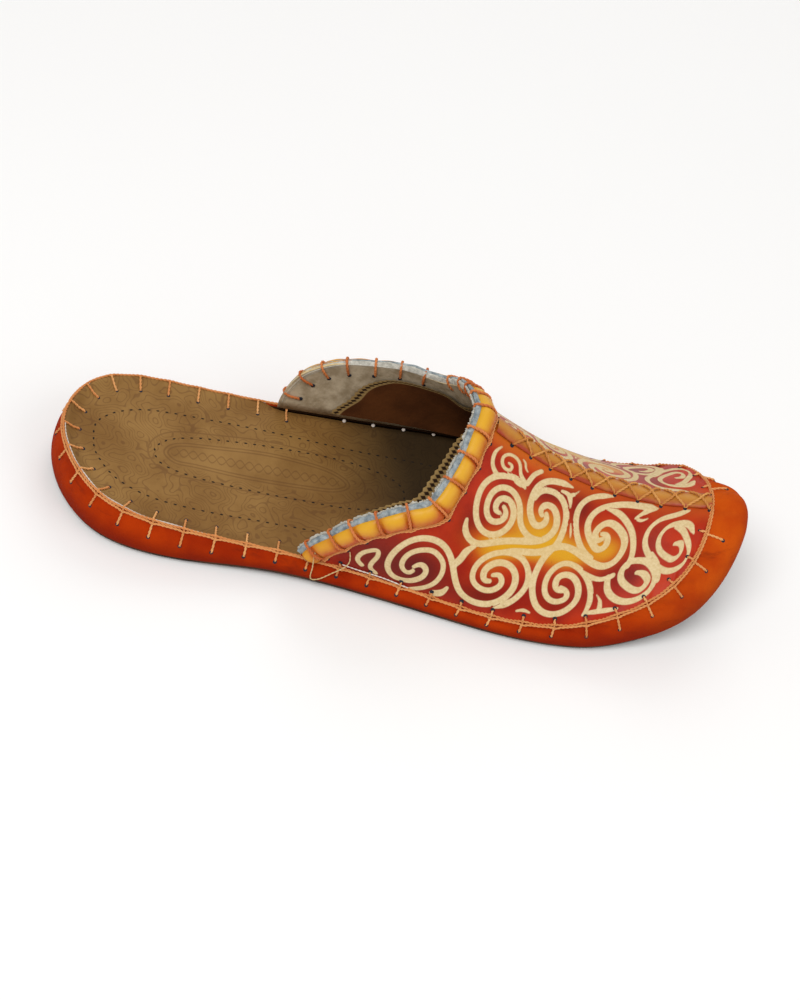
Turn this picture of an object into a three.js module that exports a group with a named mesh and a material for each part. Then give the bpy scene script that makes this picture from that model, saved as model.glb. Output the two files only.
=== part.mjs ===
// A backless leather slipper with an upturned blunt toe: dark sole, orange side band,
// leather insole, hollow upper, seam strip and rolled collar binding.
// Millimetres, +Z up, toe towards +X, outer side of the foot towards +Y.
import * as THREE from "three";

// Sizes of the last
const LENGTH = 270;
const BALL_WIDTH = 96;
const TOE_TOP = 45;
const INSTEP_TOP = 67;
const HEEL_SEAT = 23;
const TOE_CURL = 26;
const ARCH_RISE = 1.6;
const CREST_SHIFT = 2.2;
const EAR_FLARE = 3;

// Thicknesses and laps
const WALL = 2;
const BAND_WALL = 1.8;
const INSOLE_WALL = 2.2;
const SOLE_EDGE = 2.6;
const SOLE_LIP = 0.9;
const LIP_ROUND = 1.2;
const FIT_GAP = 0.4;
const BED_GAP = 0.5;
const SOLE_GAP = 0.6;
const RIDGE_GAP = 0.45;
const INSOLE_TURN = 0.87;
const INSOLE_REACH = 0.4;
const INSOLE_EASE = 0.03;

// Where the ring of the ridge and the rings outside it end, measured from heel and toe
const RIDGE_BACK = 4.2;
const RIDGE_FRONT = 17;
const BROW_BACK = -1.5;
const BROW_FRONT = -3.6;
const HEM_BACK = 1;
const HEM_FRONT = 3;
const BAND_SPREAD = 5;
const HEM_SPREAD = 3;

// Strip along the crest and binding along the collar
const STRIP_WIDTH = 7.4;
const STRIP_RISE = 0.8;
const STRIP_START = 0.024;
const STRIP_END = 0.985;
const BINDING_WIDTH = 7;
const BINDING_RISE = 2.2;
const BINDING_LIFT = 0.965;
const BINDING_GAP = 0.6;

// How finely the forms are stepped
const RUN_STEPS = 36;
const BAND_STEPS = 7;
const FILL_STEPS = 8;
const UPPER_STEPS = 24;
const COLUMN_STEP = 0.075;
const STRIP_STEPS = 26;
const BINDING_STEPS = 84;
const TINY = 1e-4;
const BAND_PROBE = 0.01;
const FACE_PROBE = 0.004;
const ROLL_PROBE = 0.012;
const HALVINGS = 24;
const ROUNDS = 12;
const SOLE_SHARES = [0.33, 0.66, 1];
const STRIP_SHARES = [-1, -0.5, 0, 0.5, 1];

// Where the forms fade along the run: flare of the ears, shift of the crest, walls at the toe
const FLARE_END = 0.66;
const FLARE_FADE = 0.16;
const SHIFT_FADE = 0.4;
const TOE_CLOSE = 20;
const STRIP_CLOSE = 16;

// Strip: its width at the toe, the height of its edges and how far across it may reach
const STRIP_TIP = 0.3;
const STRIP_EDGE = 0.6;
const STRIP_REACH = 0.5;

// One row per station, from the back of the heel (run 0) to the front of the toe (run 1).
// medial, lateral: half widths of the ridge, shares of half the ball width
// ridge: height of the ridge, share of the toe top
// hem: height of the lower edge of the band above the sole edge, share of the toe curl
// brow: how high the band bulges between hem and ridge
// spread: share of the band's outward bulge
// arch: share of the arch rise
const LAST = [
  { run: 0.0, medial: 0.0, lateral: 0.0, ridge: 0.51, hem: 0.0, brow: 0.5, spread: 0.0, arch: 0 },
  { run: 0.1, medial: 0.4, lateral: 0.43, ridge: 0.49, hem: 0.0, brow: 0.5, spread: 0.5, arch: 0 },
  { run: 0.2, medial: 0.76, lateral: 0.65, ridge: 0.43, hem: 0.0, brow: 0.5, spread: 0.8, arch: 0 },
  { run: 0.3, medial: 0.86, lateral: 0.72, ridge: 0.36, hem: 0.0, brow: 0.5, spread: 0.9, arch: 0 },
  { run: 0.4, medial: 0.8, lateral: 0.83, ridge: 0.26, hem: 0.0, brow: 0.5, spread: 1.1, arch: 0.8 },
  { run: 0.5, medial: 0.82, lateral: 0.94, ridge: 0.205, hem: 0.0, brow: 0.5, spread: 1.2, arch: 0 },
  { run: 0.6, medial: 0.95, lateral: 0.98, ridge: 0.205, hem: 0.0, brow: 0.5, spread: 0.8, arch: 0 },
  { run: 0.7, medial: 0.99, lateral: 0.93, ridge: 0.255, hem: 0.0, brow: 0.6, spread: 0.0, arch: 0 },
  { run: 0.8, medial: 0.83, lateral: 0.8, ridge: 0.45, hem: 0.17, brow: 0.85, spread: -0.8, arch: 0 },
  { run: 0.9, medial: 0.55, lateral: 0.58, ridge: 0.76, hem: 0.57, brow: 1.0, spread: -1.2, arch: 0 },
  { run: 1.0, medial: 0.0, lateral: 0.0, ridge: 1.0, hem: 1.0, brow: 1.1, spread: 0.0, arch: 0 },
];

// Top of the sole, at shares of the length, in shares of the heel seat
const BED = [
  { along: 0.0, rise: 0.8 },
  { along: 0.1, rise: 0.66 },
  { along: 0.2, rise: 0.53 },
  { along: 0.34, rise: 0.33 },
  { along: 0.48, rise: 0.2 },
  { along: 0.62, rise: 0.19 },
  { along: 0.75, rise: 0.215 },
  { along: 0.85, rise: 0.36 },
  { along: 0.92, rise: 0.62 },
  { along: 0.96, rise: 1.1 },
  { along: 1.0, rise: 1.75 },
];

// Line of the centre seam, at runs of the ridge ring, in shares of the instep top.
// Rows before 0.57 stand open above the foot and only shape the ears.
// flat: 1 for a round arch across the foot, 2 for straight sides like a tent
const CREST = [
  { run: 0.35, rise: 1.36, flat: 0.9 },
  { run: 0.43, rise: 1.31, flat: 0.92 },
  { run: 0.49, rise: 1.22, flat: 0.96 },
  { run: 0.55, rise: 1.07, flat: 1.15 },
  { run: 0.578, rise: 0.98, flat: 1.4 },
  { run: 0.62, rise: 0.84, flat: 1.5 },
  { run: 0.67, rise: 0.72, flat: 1.6 },
  { run: 0.74, rise: 0.645, flat: 1.7 },
  { run: 0.81, rise: 0.635, flat: 1.8 },
  { run: 0.9, rise: 0.67, flat: 1.8 },
  { run: 1.0, rise: 0.69, flat: 1.8 },
];

// Collar line: down the upper from the crest (0) to the ridge (1), and the run it passes
const COLLAR = [
  { down: 0.0, medial: 0.577, lateral: 0.577 },
  { down: 0.28, medial: 0.57, lateral: 0.57 },
  { down: 0.43, medial: 0.56, lateral: 0.562 },
  { down: 0.56, medial: 0.547, lateral: 0.552 },
  { down: 0.62, medial: 0.53, lateral: 0.54 },
  { down: 0.7, medial: 0.508, lateral: 0.49 },
  { down: 0.78, medial: 0.485, lateral: 0.43 },
  { down: 0.88, medial: 0.461, lateral: 0.395 },
  { down: 1.0, medial: 0.437, lateral: 0.38 },
];

// Cross-section of the rolled binding: share of its width, share of its rise
const ROLL = [
  { across: 0.0, out: 0.0 },
  { across: 0.35, out: 0.0 },
  { across: 0.7, out: 0.0 },
  { across: 1.0, out: 0.0 },
  { across: 1.04, out: 0.35 },
  { across: 0.9, out: 0.8 },
  { across: 0.65, out: 1.0 },
  { across: 0.35, out: 1.0 },
  { across: 0.1, out: 0.8 },
  { across: -0.03, out: 0.4 },
];

// Curves through table rows: steady keeps level stretches level, and its ends too when
// asked, and smooth rounds them
function slopes(xs, ys, levelEnds) {
  const last = xs.length - 1;
  const rise = [];
  for (let i = 0; i < last; i += 1) {
    rise.push((ys[i + 1] - ys[i]) / (xs[i + 1] - xs[i]));
  }
  const out = [levelEnds ? 0 : rise[0]];
  for (let i = 1; i < last; i += 1) {
    const before = rise[i - 1];
    const after = rise[i];
    if (before * after <= 0) {
      out.push(0);
    } else {
      out.push((2 * before * after) / (before + after));
    }
  }
  out.push(levelEnds ? 0 : rise[last - 1]);
  return out;
}

function steady(rows, key, value, levelEnds) {
  const xs = rows.map((row) => row[key]);
  const ys = rows.map((row) => row[value]);
  const ms = slopes(xs, ys, levelEnds);
  return (x) => {
    let i = 0;
    while (i < xs.length - 2 && x > xs[i + 1]) {
      i += 1;
    }
    const h = xs[i + 1] - xs[i];
    const t = Math.min(Math.max((x - xs[i]) / h, 0), 1);
    const u = 1 - t;
    const ends = ys[i] * u * u * (1 + 2 * t) + ys[i + 1] * t * t * (3 - 2 * t);
    const leans = ms[i] * t * u * u - ms[i + 1] * t * t * u;
    return ends + h * leans;
  };
}

function smooth(rows, key, value) {
  const xs = rows.map((row) => row[key]);
  const ys = rows.map((row) => row[value]);
  const n = xs.length;
  const bend = new Array(n).fill(0);
  const work = new Array(n).fill(0);
  for (let i = 1; i < n - 1; i += 1) {
    const share = (xs[i] - xs[i - 1]) / (xs[i + 1] - xs[i - 1]);
    const base = share * bend[i - 1] + 2;
    const ahead = (ys[i + 1] - ys[i]) / (xs[i + 1] - xs[i]);
    const behind = (ys[i] - ys[i - 1]) / (xs[i] - xs[i - 1]);
    bend[i] = (share - 1) / base;
    work[i] = (6 * (ahead - behind)) / (xs[i + 1] - xs[i - 1]);
    work[i] = (work[i] - share * work[i - 1]) / base;
  }
  for (let i = n - 2; i >= 0; i -= 1) {
    bend[i] = bend[i] * bend[i + 1] + work[i];
  }
  return (x) => {
    let i = 0;
    while (i < n - 2 && x > xs[i + 1]) {
      i += 1;
    }
    const h = xs[i + 1] - xs[i];
    const a = (xs[i + 1] - x) / h;
    const b = (x - xs[i]) / h;
    const curl = (a * a * a - a) * bend[i] + (b * b * b - b) * bend[i + 1];
    return a * ys[i] + b * ys[i + 1] + (curl * h * h) / 6;
  };
}

const medialAt = smooth(LAST, "run", "medial");
const lateralAt = smooth(LAST, "run", "lateral");
const ridgeAt = steady(LAST, "run", "ridge", true);
const hemAt = steady(LAST, "run", "hem", true);
const browAt = steady(LAST, "run", "brow", true);
const spreadAt = steady(LAST, "run", "spread", false);
const archAt = steady(LAST, "run", "arch", true);
const bedAt = smooth(BED, "along", "rise");
const crestAt = steady(CREST, "run", "rise", true);
const flatAt = steady(CREST, "run", "flat", true);
const collarMedial = steady(COLLAR, "down", "medial", true);
const collarLateral = steady(COLLAR, "down", "lateral", true);

// Rings round the last. A turn of 0 is the heel, 1 the toe, and 1 to 2 comes back
// along the outer side.
function runOf(turn) {
  return turn <= 1 ? turn : 2 - turn;
}

function swept(run, back, front) {
  return back + ((front - back) * (1 - Math.cos(Math.PI * run))) / 2;
}

function halfWidth(turn) {
  const run = runOf(turn);
  const share = turn <= 1 ? -medialAt(run) : lateralAt(run);
  return (share * BALL_WIDTH) / 2;
}

function side(turn) {
  return turn <= 1 ? -1 : 1;
}

function ridgeHeight(run) {
  return ridgeAt(run) * TOE_TOP;
}

function hemHeight(run) {
  return SOLE_EDGE + hemAt(run) * TOE_CURL + archAt(run) * ARCH_RISE;
}

function bedHeight(x) {
  return bedAt(x / LENGTH) * HEEL_SEAT;
}

// Outer face of the side band, from the ridge (level 0) to the hem (level 1)
function bandFace(turn, level) {
  const lap = ((turn % 2) + 2) % 2;
  const run = runOf(lap);
  const half = halfWidth(lap);
  const bulge = spreadAt(run) * side(lap);
  const top = ridgeHeight(run);
  const low = hemHeight(run);
  const a = (1 - level) * (1 - level);
  const b = 2 * level * (1 - level);
  const c = level * level;
  const x1 = swept(run, RIDGE_BACK, LENGTH - RIDGE_FRONT);
  const x2 = swept(run, BROW_BACK, LENGTH - BROW_FRONT);
  const x3 = swept(run, HEM_BACK, LENGTH - HEM_FRONT);
  const y2 = half + bulge * BAND_SPREAD;
  const y3 = half + bulge * HEM_SPREAD;
  const z2 = low + (top - low) * browAt(run);
  const x = a * x1 + b * x2 + c * x3;
  const y = a * half + b * y2 + c * y3;
  const z = a * top + b * z2 + c * low;
  return new THREE.Vector3(x, y, z);
}

function bandPoint(turn, level, inset) {
  const low = Math.min(level, 1 - BAND_PROBE);
  const ahead = bandFace(turn + BAND_PROBE, level).sub(bandFace(turn - BAND_PROBE, level));
  const down = bandFace(turn, low + BAND_PROBE).sub(bandFace(turn, low));
  const inward = ahead.cross(down).normalize();
  return bandFace(turn, level).addScaledVector(inward, inset);
}

// Level on the inside of the band that stands a given height over the bed
function levelOverBed(turn, over, inset) {
  let high = 0;
  let low = 1;
  for (let i = 0; i < HALVINGS; i += 1) {
    const mid = (high + low) / 2;
    const point = bandPoint(turn, mid, inset);
    if (point.z > bedHeight(point.x) + over) {
      high = mid;
    } else {
      low = mid;
    }
  }
  return (high + low) / 2;
}

function bandOverBed(turn, over, inset) {
  return bandPoint(turn, levelOverBed(turn, over, inset), inset);
}

// Face of the upper. across runs from -1 at the inner ridge over 0 at the crest to 1.
function upperFace(run, across, inset) {
  const turn = across < 0 ? run : 2 - run;
  const angle = (Math.abs(across) * Math.PI) / 2;
  const flat = flatAt(run);
  const wide = Math.sin(angle) ** flat;
  const tall = Math.max(Math.cos(angle), 0) ** flat;
  const rear = Math.min(Math.max((FLARE_END - run) / FLARE_FADE, 0), 1);
  const flare = EAR_FLARE * rear * Math.sin(2 * angle) * side(turn);
  const half = halfWidth(turn) - inset * side(turn) * Math.min(1, (1 - run) * TOE_CLOSE);
  const shift = CREST_SHIFT * (1 - wide) * Math.min(Math.max((1 - run) / SHIFT_FADE, 0), 1);
  const foot = ridgeHeight(run) + RIDGE_GAP;
  const crown = crestAt(run) * INSTEP_TOP - inset;
  const x = swept(run, RIDGE_BACK, LENGTH - RIDGE_FRONT - inset);
  return new THREE.Vector3(x, half * wide + flare + shift, foot + (crown - foot) * tall);
}

function collarRun(across) {
  const down = Math.abs(across);
  return across < 0 ? collarMedial(down) : collarLateral(down);
}

function upperNormal(run, across) {
  const left = Math.min(across + FACE_PROBE, 1);
  const right = Math.max(across - FACE_PROBE, -1);
  const fore = upperFace(run + FACE_PROBE, across, 0);
  const ahead = fore.sub(upperFace(run - FACE_PROBE, across, 0));
  const over = upperFace(run, left, 0).sub(upperFace(run, right, 0));
  return ahead.cross(over).normalize();
}

// Closed skins: points and triangles gathered, turned to face out and named
class Skin {
  constructor() {
    this.points = [];
    this.faces = [];
  }

  add(point) {
    this.points.push(point);
    return this.points.length - 1;
  }

  row(points) {
    return points.map((point) => this.add(point));
  }

  face(a, b, c) {
    if (a !== b && b !== c && c !== a) {
      this.faces.push([a, b, c]);
    }
  }

  quad(a, b, c, d) {
    this.face(a, b, c);
    this.face(a, c, d);
  }

  // Quads between two rows, closed round when asked
  join(one, two, closed) {
    const count = one.length;
    const last = closed ? count : count - 1;
    for (let i = 0; i < last; i += 1) {
      const j = (i + 1) % count;
      this.quad(one[i], one[j], two[j], two[i]);
    }
  }

  // A ring that starts at the heel is filled with rows from side to side
  fill(ring, height, flip) {
    const half = ring.length / 2;
    let before = new Array(FILL_STEPS + 1).fill(ring[0]);
    for (let i = 1; i <= half; i += 1) {
      const right = ring[i];
      const left = ring[(ring.length - i) % ring.length];
      const now = [right];
      for (let j = 1; j < FILL_STEPS; j += 1) {
        if (i === half) {
          now.push(right);
        } else {
          const spot = this.points[right].clone().lerp(this.points[left], j / FILL_STEPS);
          spot.z = height(spot);
          now.push(this.add(spot));
        }
      }
      now.push(left);
      for (let j = 0; j < FILL_STEPS; j += 1) {
        if (flip) {
          this.quad(before[j], before[j + 1], now[j + 1], now[j]);
        } else {
          this.quad(before[j], now[j], now[j + 1], before[j + 1]);
        }
      }
      before = now;
    }
  }

  volume() {
    let sum = 0;
    this.faces.forEach(([a, b, c]) => {
      const cross = this.points[b].clone().cross(this.points[c]);
      sum += this.points[a].dot(cross) / 6;
    });
    return sum;
  }
}

function ringOf(place) {
  const points = [];
  for (let i = 0; i < 2 * RUN_STEPS; i += 1) {
    points.push(place(i / RUN_STEPS));
  }
  return points;
}

// Dark sole: flat heel and tread, raised waist, rolled up at the toe, thick under the heel
function soleSkin() {
  const skin = new Skin();
  const inset = BAND_WALL + SOLE_GAP;
  const underZ = (turn) => hemHeight(runOf(turn)) - SOLE_EDGE;
  const lip = (turn, inward, drop) => {
    const point = bandPoint(turn, 1, SOLE_LIP + inward);
    point.z = underZ(turn) + drop;
    return point;
  };
  const rings = [
    ringOf((turn) => lip(turn, LIP_ROUND, 0)),
    ringOf((turn) => lip(turn, 0, LIP_ROUND)),
    ringOf((turn) => lip(turn, 0, SOLE_EDGE - FIT_GAP)),
    ringOf((turn) => lip(turn, inset - SOLE_LIP, SOLE_EDGE - FIT_GAP)),
  ];
  SOLE_SHARES.forEach((share) => {
    rings.push(
      ringOf((turn) => {
        const level = 1 + (levelOverBed(turn, 0, inset) - 1) * share;
        return bandPoint(turn, level, inset);
      }),
    );
  });
  const rows = rings.map((ring) => skin.row(ring));
  for (let i = 0; i < rows.length - 1; i += 1) {
    skin.join(rows[i], rows[i + 1], true);
  }
  const under = steady(
    ringOf((turn) => lip(turn, LIP_ROUND, 0))
      .slice(0, RUN_STEPS + 1)
      .map((point) => ({ x: point.x, z: point.z })),
    "x",
    "z",
    false,
  );
  skin.fill(rows[0], (spot) => under(spot.x), true);
  skin.fill(rows[rows.length - 1], (spot) => bedHeight(spot.x), false);
  return skin;
}

// Leather insole on the bed of the sole, level with the band at the heel
function insoleSkin() {
  const skin = new Skin();
  const inset = BAND_WALL + FIT_GAP;
  const under = BED_GAP;
  const top = under + INSOLE_WALL;
  const rim = (over) =>
    ringOf((turn) => {
      const point = bandOverBed(turn, over, inset);
      const past = point.x - INSOLE_TURN * LENGTH;
      if (past > 0) {
        point.x -= past * (1 - INSOLE_REACH);
        point.z = bedHeight(point.x) + over + past * INSOLE_EASE;
      }
      return point;
    });
  const low = skin.row(rim(under));
  const high = skin.row(rim(top));
  skin.join(low, high, true);
  skin.fill(low, (spot) => bedHeight(spot.x) + under, true);
  skin.fill(high, (spot) => bedHeight(spot.x) + top, false);
  return skin;
}

// Orange band round the side, drawn up over the toe
function bandSkin() {
  const skin = new Skin();
  const rows = [];
  for (let i = 0; i <= BAND_STEPS; i += 1) {
    rows.push(skin.row(ringOf((turn) => bandPoint(turn, i / BAND_STEPS, 0))));
  }
  for (let i = BAND_STEPS; i >= 0; i -= 1) {
    rows.push(skin.row(ringOf((turn) => bandPoint(turn, i / BAND_STEPS, BAND_WALL))));
  }
  for (let i = 0; i < rows.length; i += 1) {
    skin.join(rows[i], rows[(i + 1) % rows.length], true);
  }
  return skin;
}

// Columns across the upper pass through every row of the collar table
function upperColumns() {
  const half = [0];
  for (let i = 1; i < COLLAR.length; i += 1) {
    const from = COLLAR[i - 1].down;
    const to = COLLAR[i].down;
    const count = Math.ceil((to - from) / COLUMN_STEP);
    for (let j = 1; j <= count; j += 1) {
      half.push(from + ((to - from) * j) / count);
    }
  }
  const right = half
    .slice(1)
    .reverse()
    .map((down) => -down);
  return right.concat(half);
}

// Hollow upper: outer and inner face, open at the collar and underneath
function upperSkin() {
  const skin = new Skin();
  const columns = upperColumns();
  const faces = [0, WALL].map((inset) => {
    const rows = [];
    for (let i = 0; i < UPPER_STEPS; i += 1) {
      const share = i / UPPER_STEPS;
      rows.push(
        skin.row(
          columns.map((across) => {
            const start = collarRun(across);
            return upperFace(start + (1 - start) * share, across, inset);
          }),
        ),
      );
    }
    const tip = skin.add(upperFace(1, 0, inset));
    rows.push(columns.map(() => tip));
    return rows;
  });
  const [outer, inner] = faces;
  for (let i = 0; i < UPPER_STEPS; i += 1) {
    skin.join(outer[i], outer[i + 1], false);
    skin.join(inner[i + 1], inner[i], false);
    const last = columns.length - 1;
    skin.quad(outer[i + 1][0], inner[i + 1][0], inner[i][0], outer[i][0]);
    skin.quad(outer[i][last], inner[i][last], inner[i + 1][last], outer[i + 1][last]);
  }
  skin.join(inner[0], outer[0], false);
  return skin;
}

// A section swept along stations and closed at both ends
function sweptSkin(sections) {
  const skin = new Skin();
  const rows = sections.map((section) => skin.row(section));
  for (let i = 0; i < rows.length - 1; i += 1) {
    skin.join(rows[i], rows[i + 1], true);
  }
  const caps = [
    [rows[0], false],
    [rows[rows.length - 1], true],
  ];
  caps.forEach(([row, flip]) => {
    for (let i = 1; i < row.length / 2; i += 1) {
      const a = row[i - 1];
      const b = row[i];
      const c = row[row.length - 1 - i];
      const d = row[row.length - i];
      if (flip) {
        skin.quad(a, b, c, d);
      } else {
        skin.quad(d, c, b, a);
      }
    }
  });
  return skin;
}

// Strip over the centre seam, from under the binding to the toe
function stripSkin() {
  const sections = [];
  for (let i = 0; i <= STRIP_STEPS; i += 1) {
    const start = collarRun(0) + STRIP_START;
    const run = start + ((STRIP_END - start) * i) / STRIP_STEPS;
    const taper = Math.min(1, (1 - run) * STRIP_CLOSE);
    const spots = STRIP_SHARES.map((share) => {
      const want = (share * STRIP_WIDTH * (STRIP_TIP + (1 - STRIP_TIP) * taper)) / 2;
      const centre = upperFace(run, 0, 0).y;
      let across = 0;
      for (let k = 0; k < ROUNDS; k += 1) {
        const there = upperFace(run, across, 0).y - centre;
        const near = upperFace(run, across + TINY, 0).y - centre;
        const lean = Math.max((near - there) / TINY, 1);
        across += (want - there) / lean;
        across = Math.min(Math.max(across, -STRIP_REACH), STRIP_REACH);
      }
      return { across, rise: Math.abs(share) < 1 ? 1 : STRIP_EDGE };
    });
    const low = spots.map((spot) => {
      const point = upperFace(run, spot.across, 0);
      return point.addScaledVector(upperNormal(run, spot.across), FIT_GAP);
    });
    const high = spots.map((spot) => {
      const point = upperFace(run, spot.across, 0);
      const rise = FIT_GAP + STRIP_RISE * spot.rise;
      return point.addScaledVector(upperNormal(run, spot.across), rise);
    });
    sections.push(low.concat(high.reverse()));
  }
  return sweptSkin(sections);
}

// Rolled binding on the outside of the collar edge
function bindingSkin() {
  const place = (share) => {
    const across = share * BINDING_LIFT;
    return { run: collarRun(across), across };
  };
  const sections = [];
  for (let i = 0; i <= BINDING_STEPS; i += 1) {
    const share = (2 * i) / BINDING_STEPS - 1;
    const here = place(share);
    const next = place(Math.min(share + ROLL_PROBE, 1));
    const back = place(Math.max(share - ROLL_PROBE, -1));
    const along = upperFace(next.run, next.across, 0).sub(upperFace(back.run, back.across, 0));
    const normal = upperNormal(here.run, here.across);
    const into = along.cross(normal).normalize();
    const ahead = upperFace(here.run + TINY, here.across, 0)
      .sub(upperFace(here.run, here.across, 0))
      .divideScalar(TINY);
    const over = upperFace(here.run, here.across + TINY, 0)
      .sub(upperFace(here.run, here.across, 0))
      .divideScalar(TINY);
    const aa = ahead.dot(ahead);
    const ao = ahead.dot(over);
    const oo = over.dot(over);
    const det = aa * oo - ao * ao;
    const section = ROLL.map((spot) => {
      const reach = Math.max(spot.across, 0) * BINDING_WIDTH;
      const pa = into.dot(ahead) * reach;
      const po = into.dot(over) * reach;
      const run = here.run + (pa * oo - po * ao) / det;
      const across = Math.min(Math.max(here.across + (po * aa - pa * ao) / det, -1), 1);
      const point = upperFace(run, across, 0);
      const lift = BINDING_GAP + BINDING_RISE * spot.out;
      point.addScaledVector(upperNormal(run, across), lift);
      return point.addScaledVector(into, Math.min(spot.across, 0) * BINDING_WIDTH);
    });
    sections.push(section);
  }
  return sweptSkin(sections);
}

const parts = [
  { name: "outsole", skin: soleSkin(), colour: 0x2b1d16, roughness: 0.8 },
  { name: "insole", skin: insoleSkin(), colour: 0x8a6a38, roughness: 0.75 },
  { name: "side_band", skin: bandSkin(), colour: 0xd9521a, roughness: 0.7 },
  { name: "upper", skin: upperSkin(), colour: 0xa82a22, roughness: 0.45 },
  { name: "seam_strip", skin: stripSkin(), colour: 0xd98a2e, roughness: 0.55 },
  { name: "collar_binding", skin: bindingSkin(), colour: 0xe0952c, roughness: 0.5 },
];

// The middle of the built plan stands on the origin
const box = new THREE.Box3();
parts.forEach((part) => {
  part.skin.points.forEach((point) => box.expandByPoint(point));
});
const centre = box.getCenter(new THREE.Vector3());

const slipper = new THREE.Group();
slipper.name = "slipper";
parts.forEach((part) => {
  const { skin } = part;
  const flip = skin.volume() < 0;
  const positions = [];
  skin.points.forEach((point) => {
    positions.push(point.x - centre.x, point.y - centre.y, point.z - box.min.z);
  });
  const index = [];
  skin.faces.forEach(([a, b, c]) => {
    if (flip) {
      index.push(a, c, b);
    } else {
      index.push(a, b, c);
    }
  });
  const geometry = new THREE.BufferGeometry();
  geometry.setAttribute("position", new THREE.Float32BufferAttribute(positions, 3));
  geometry.setIndex(index);
  geometry.computeVertexNormals();
  const material = new THREE.MeshStandardMaterial({
    color: part.colour,
    roughness: part.roughness,
    metalness: 0,
  });
  const mesh = new THREE.Mesh(geometry, material);
  mesh.name = part.name;
  slipper.add(mesh);
});

export default slipper;
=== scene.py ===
import bpy
import numpy as np
from mathutils import Matrix
from mathutils.kdtree import KDTree


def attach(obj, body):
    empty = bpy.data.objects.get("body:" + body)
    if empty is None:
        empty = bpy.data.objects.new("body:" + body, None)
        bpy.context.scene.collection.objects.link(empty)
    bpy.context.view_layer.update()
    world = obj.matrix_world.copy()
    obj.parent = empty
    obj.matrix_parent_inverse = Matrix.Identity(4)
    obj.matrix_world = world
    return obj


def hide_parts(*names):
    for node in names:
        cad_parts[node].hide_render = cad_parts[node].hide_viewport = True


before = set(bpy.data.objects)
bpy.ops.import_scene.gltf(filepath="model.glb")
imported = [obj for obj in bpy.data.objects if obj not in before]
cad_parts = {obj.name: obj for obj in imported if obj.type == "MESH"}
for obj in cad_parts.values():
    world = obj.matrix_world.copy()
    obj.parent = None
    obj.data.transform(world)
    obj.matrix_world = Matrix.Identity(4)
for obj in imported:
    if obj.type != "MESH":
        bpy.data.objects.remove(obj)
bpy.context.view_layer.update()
MM = 0.001

# Sizes of the last
LENGTH = 270
BALL_WIDTH = 96
TOE_TOP = 45
INSTEP_TOP = 67
HEEL_SEAT = 23
TOE_CURL = 26
ARCH_RISE = 1.6
CREST_SHIFT = 2.2
EAR_FLARE = 3

# Thicknesses and laps
WALL = 2
BAND_WALL = 1.8
INSOLE_TOP = 2.7
SOLE_EDGE = 2.6
SOLE_LIP = 0.9
LIP_ROUND = 1.2
FIT_GAP = 0.4
SOLE_GAP = 0.6
RIDGE_GAP = 0.45
INSOLE_TURN = 0.87
INSOLE_REACH = 0.4
INSOLE_EASE = 0.03

# Where the ring of the ridge and the rings outside it end, measured from heel and toe
RIDGE_BACK = 4.2
RIDGE_FRONT = 17
BROW_BACK = -1.5
BROW_FRONT = -3.6
HEM_BACK = 1
HEM_FRONT = 3
BAND_SPREAD = 5
HEM_SPREAD = 3

# Where forms fade along the run: flare of the ears, shift of the crest, walls at the toe
FLARE_END = 0.66
FLARE_FADE = 0.16
SHIFT_FADE = 0.4
TOE_CLOSE = 20
STRIP_CLOSE = 16

# Side band: how stitches draw it in, how it wavers, and how the toe is gathered and puffed out
PINCH = 0.8
PINCH_LEVEL = 0.12
SWAY = 0.108
GATHER = 0.55
TOE_PUFF = 2.6

# Insole: height and reach of its sewn rim, sag of its tucked rim, and its waves
RIM_INSET = 0.4
RIM_LIFT = 0.4
RIM_REACH = 3.0
TUCK = 0.7
INSOLE_WAVE = 0.25

# Upper: line of the panel that lengths are taken along, its dent, wave and pinch, the end of its
# flesh side, and the pinked edge, depth and end of its lining
CHART_LINE = 0.55
TROUGH = 0.5
PANEL_WAVE = 0.35
PANEL_PINCH = 0.35
INSIDE_END = 0.94
TOOTH_STEP = 2.6
LINING_DEPTH = 2.7
LINING_EASE = 22
LINING_END = 0.95

# Stitches at the ridge: steps down the band, the most of its height and the fewest steps they
# take, and how high they lie on the band and over the ridge
LEG_STEPS = 10
LEG_SHARE = 0.62
LEG_LEAST = 4
LEG_LIFT = 0.35
TOP_LIFT = 0.95

# Strip, binding and thread
STRIP_WIDTH = 7.4
STRIP_RISE = 0.8
STRIP_START = 0.02
STRIP_END = 0.985
STRIP_TIP = 0.3
LACE_END = 0.965
BINDING_WIDTH = 7.4
BINDING_RISE = 2.4
EDGE_REACH = 2.0
STITCH_STEP = 12.0
DOT_STEP = 3.6
ROLL_STEP = 10.5
LACE_STEP = 8.7
THREAD = 0.42
THREAD_STEP = 0.55
PLY_PITCH = 3.2
PLY_OFFSET = 0.5
PLY_RADIUS = 0.62

# Shares of the collar: how near its corners its pieces go, where the raw edge narrows, where
# stitches lie snug on the ear, and where their holes show outside and inside
COLLAR_SPAN = 0.985
RAW_FADE = (0.62, 0.8)
SNUG_FROM = 0.66
OUTER_HOLES_TO = 0.6
INNER_HOLES_FROM = 0.3

# Rows and columns of the larger pieces
FINE_RING = 960
COARSE_RING = 480
PANEL_ROWS = 280
PANEL_COLS = 120
INSIDE_ROWS = 70
INSIDE_COLS = 40

# Steps for slopes, and the rounds of each search
BAND_PROBE = 0.01
FACE_PROBE = 0.004
ROLL_PROBE = 0.012
WAY_PROBE = 0.003
WALK_PROBE = 1e-3
WALK_STEP = 0.7
TINY = 1e-4
HALVINGS = 24
ROUNDS = 12

UP = np.array([0.0, 0.0, 1.0])


def table(columns, rows):
    return dict(zip(columns.split(), np.array(rows, float).T))


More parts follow.
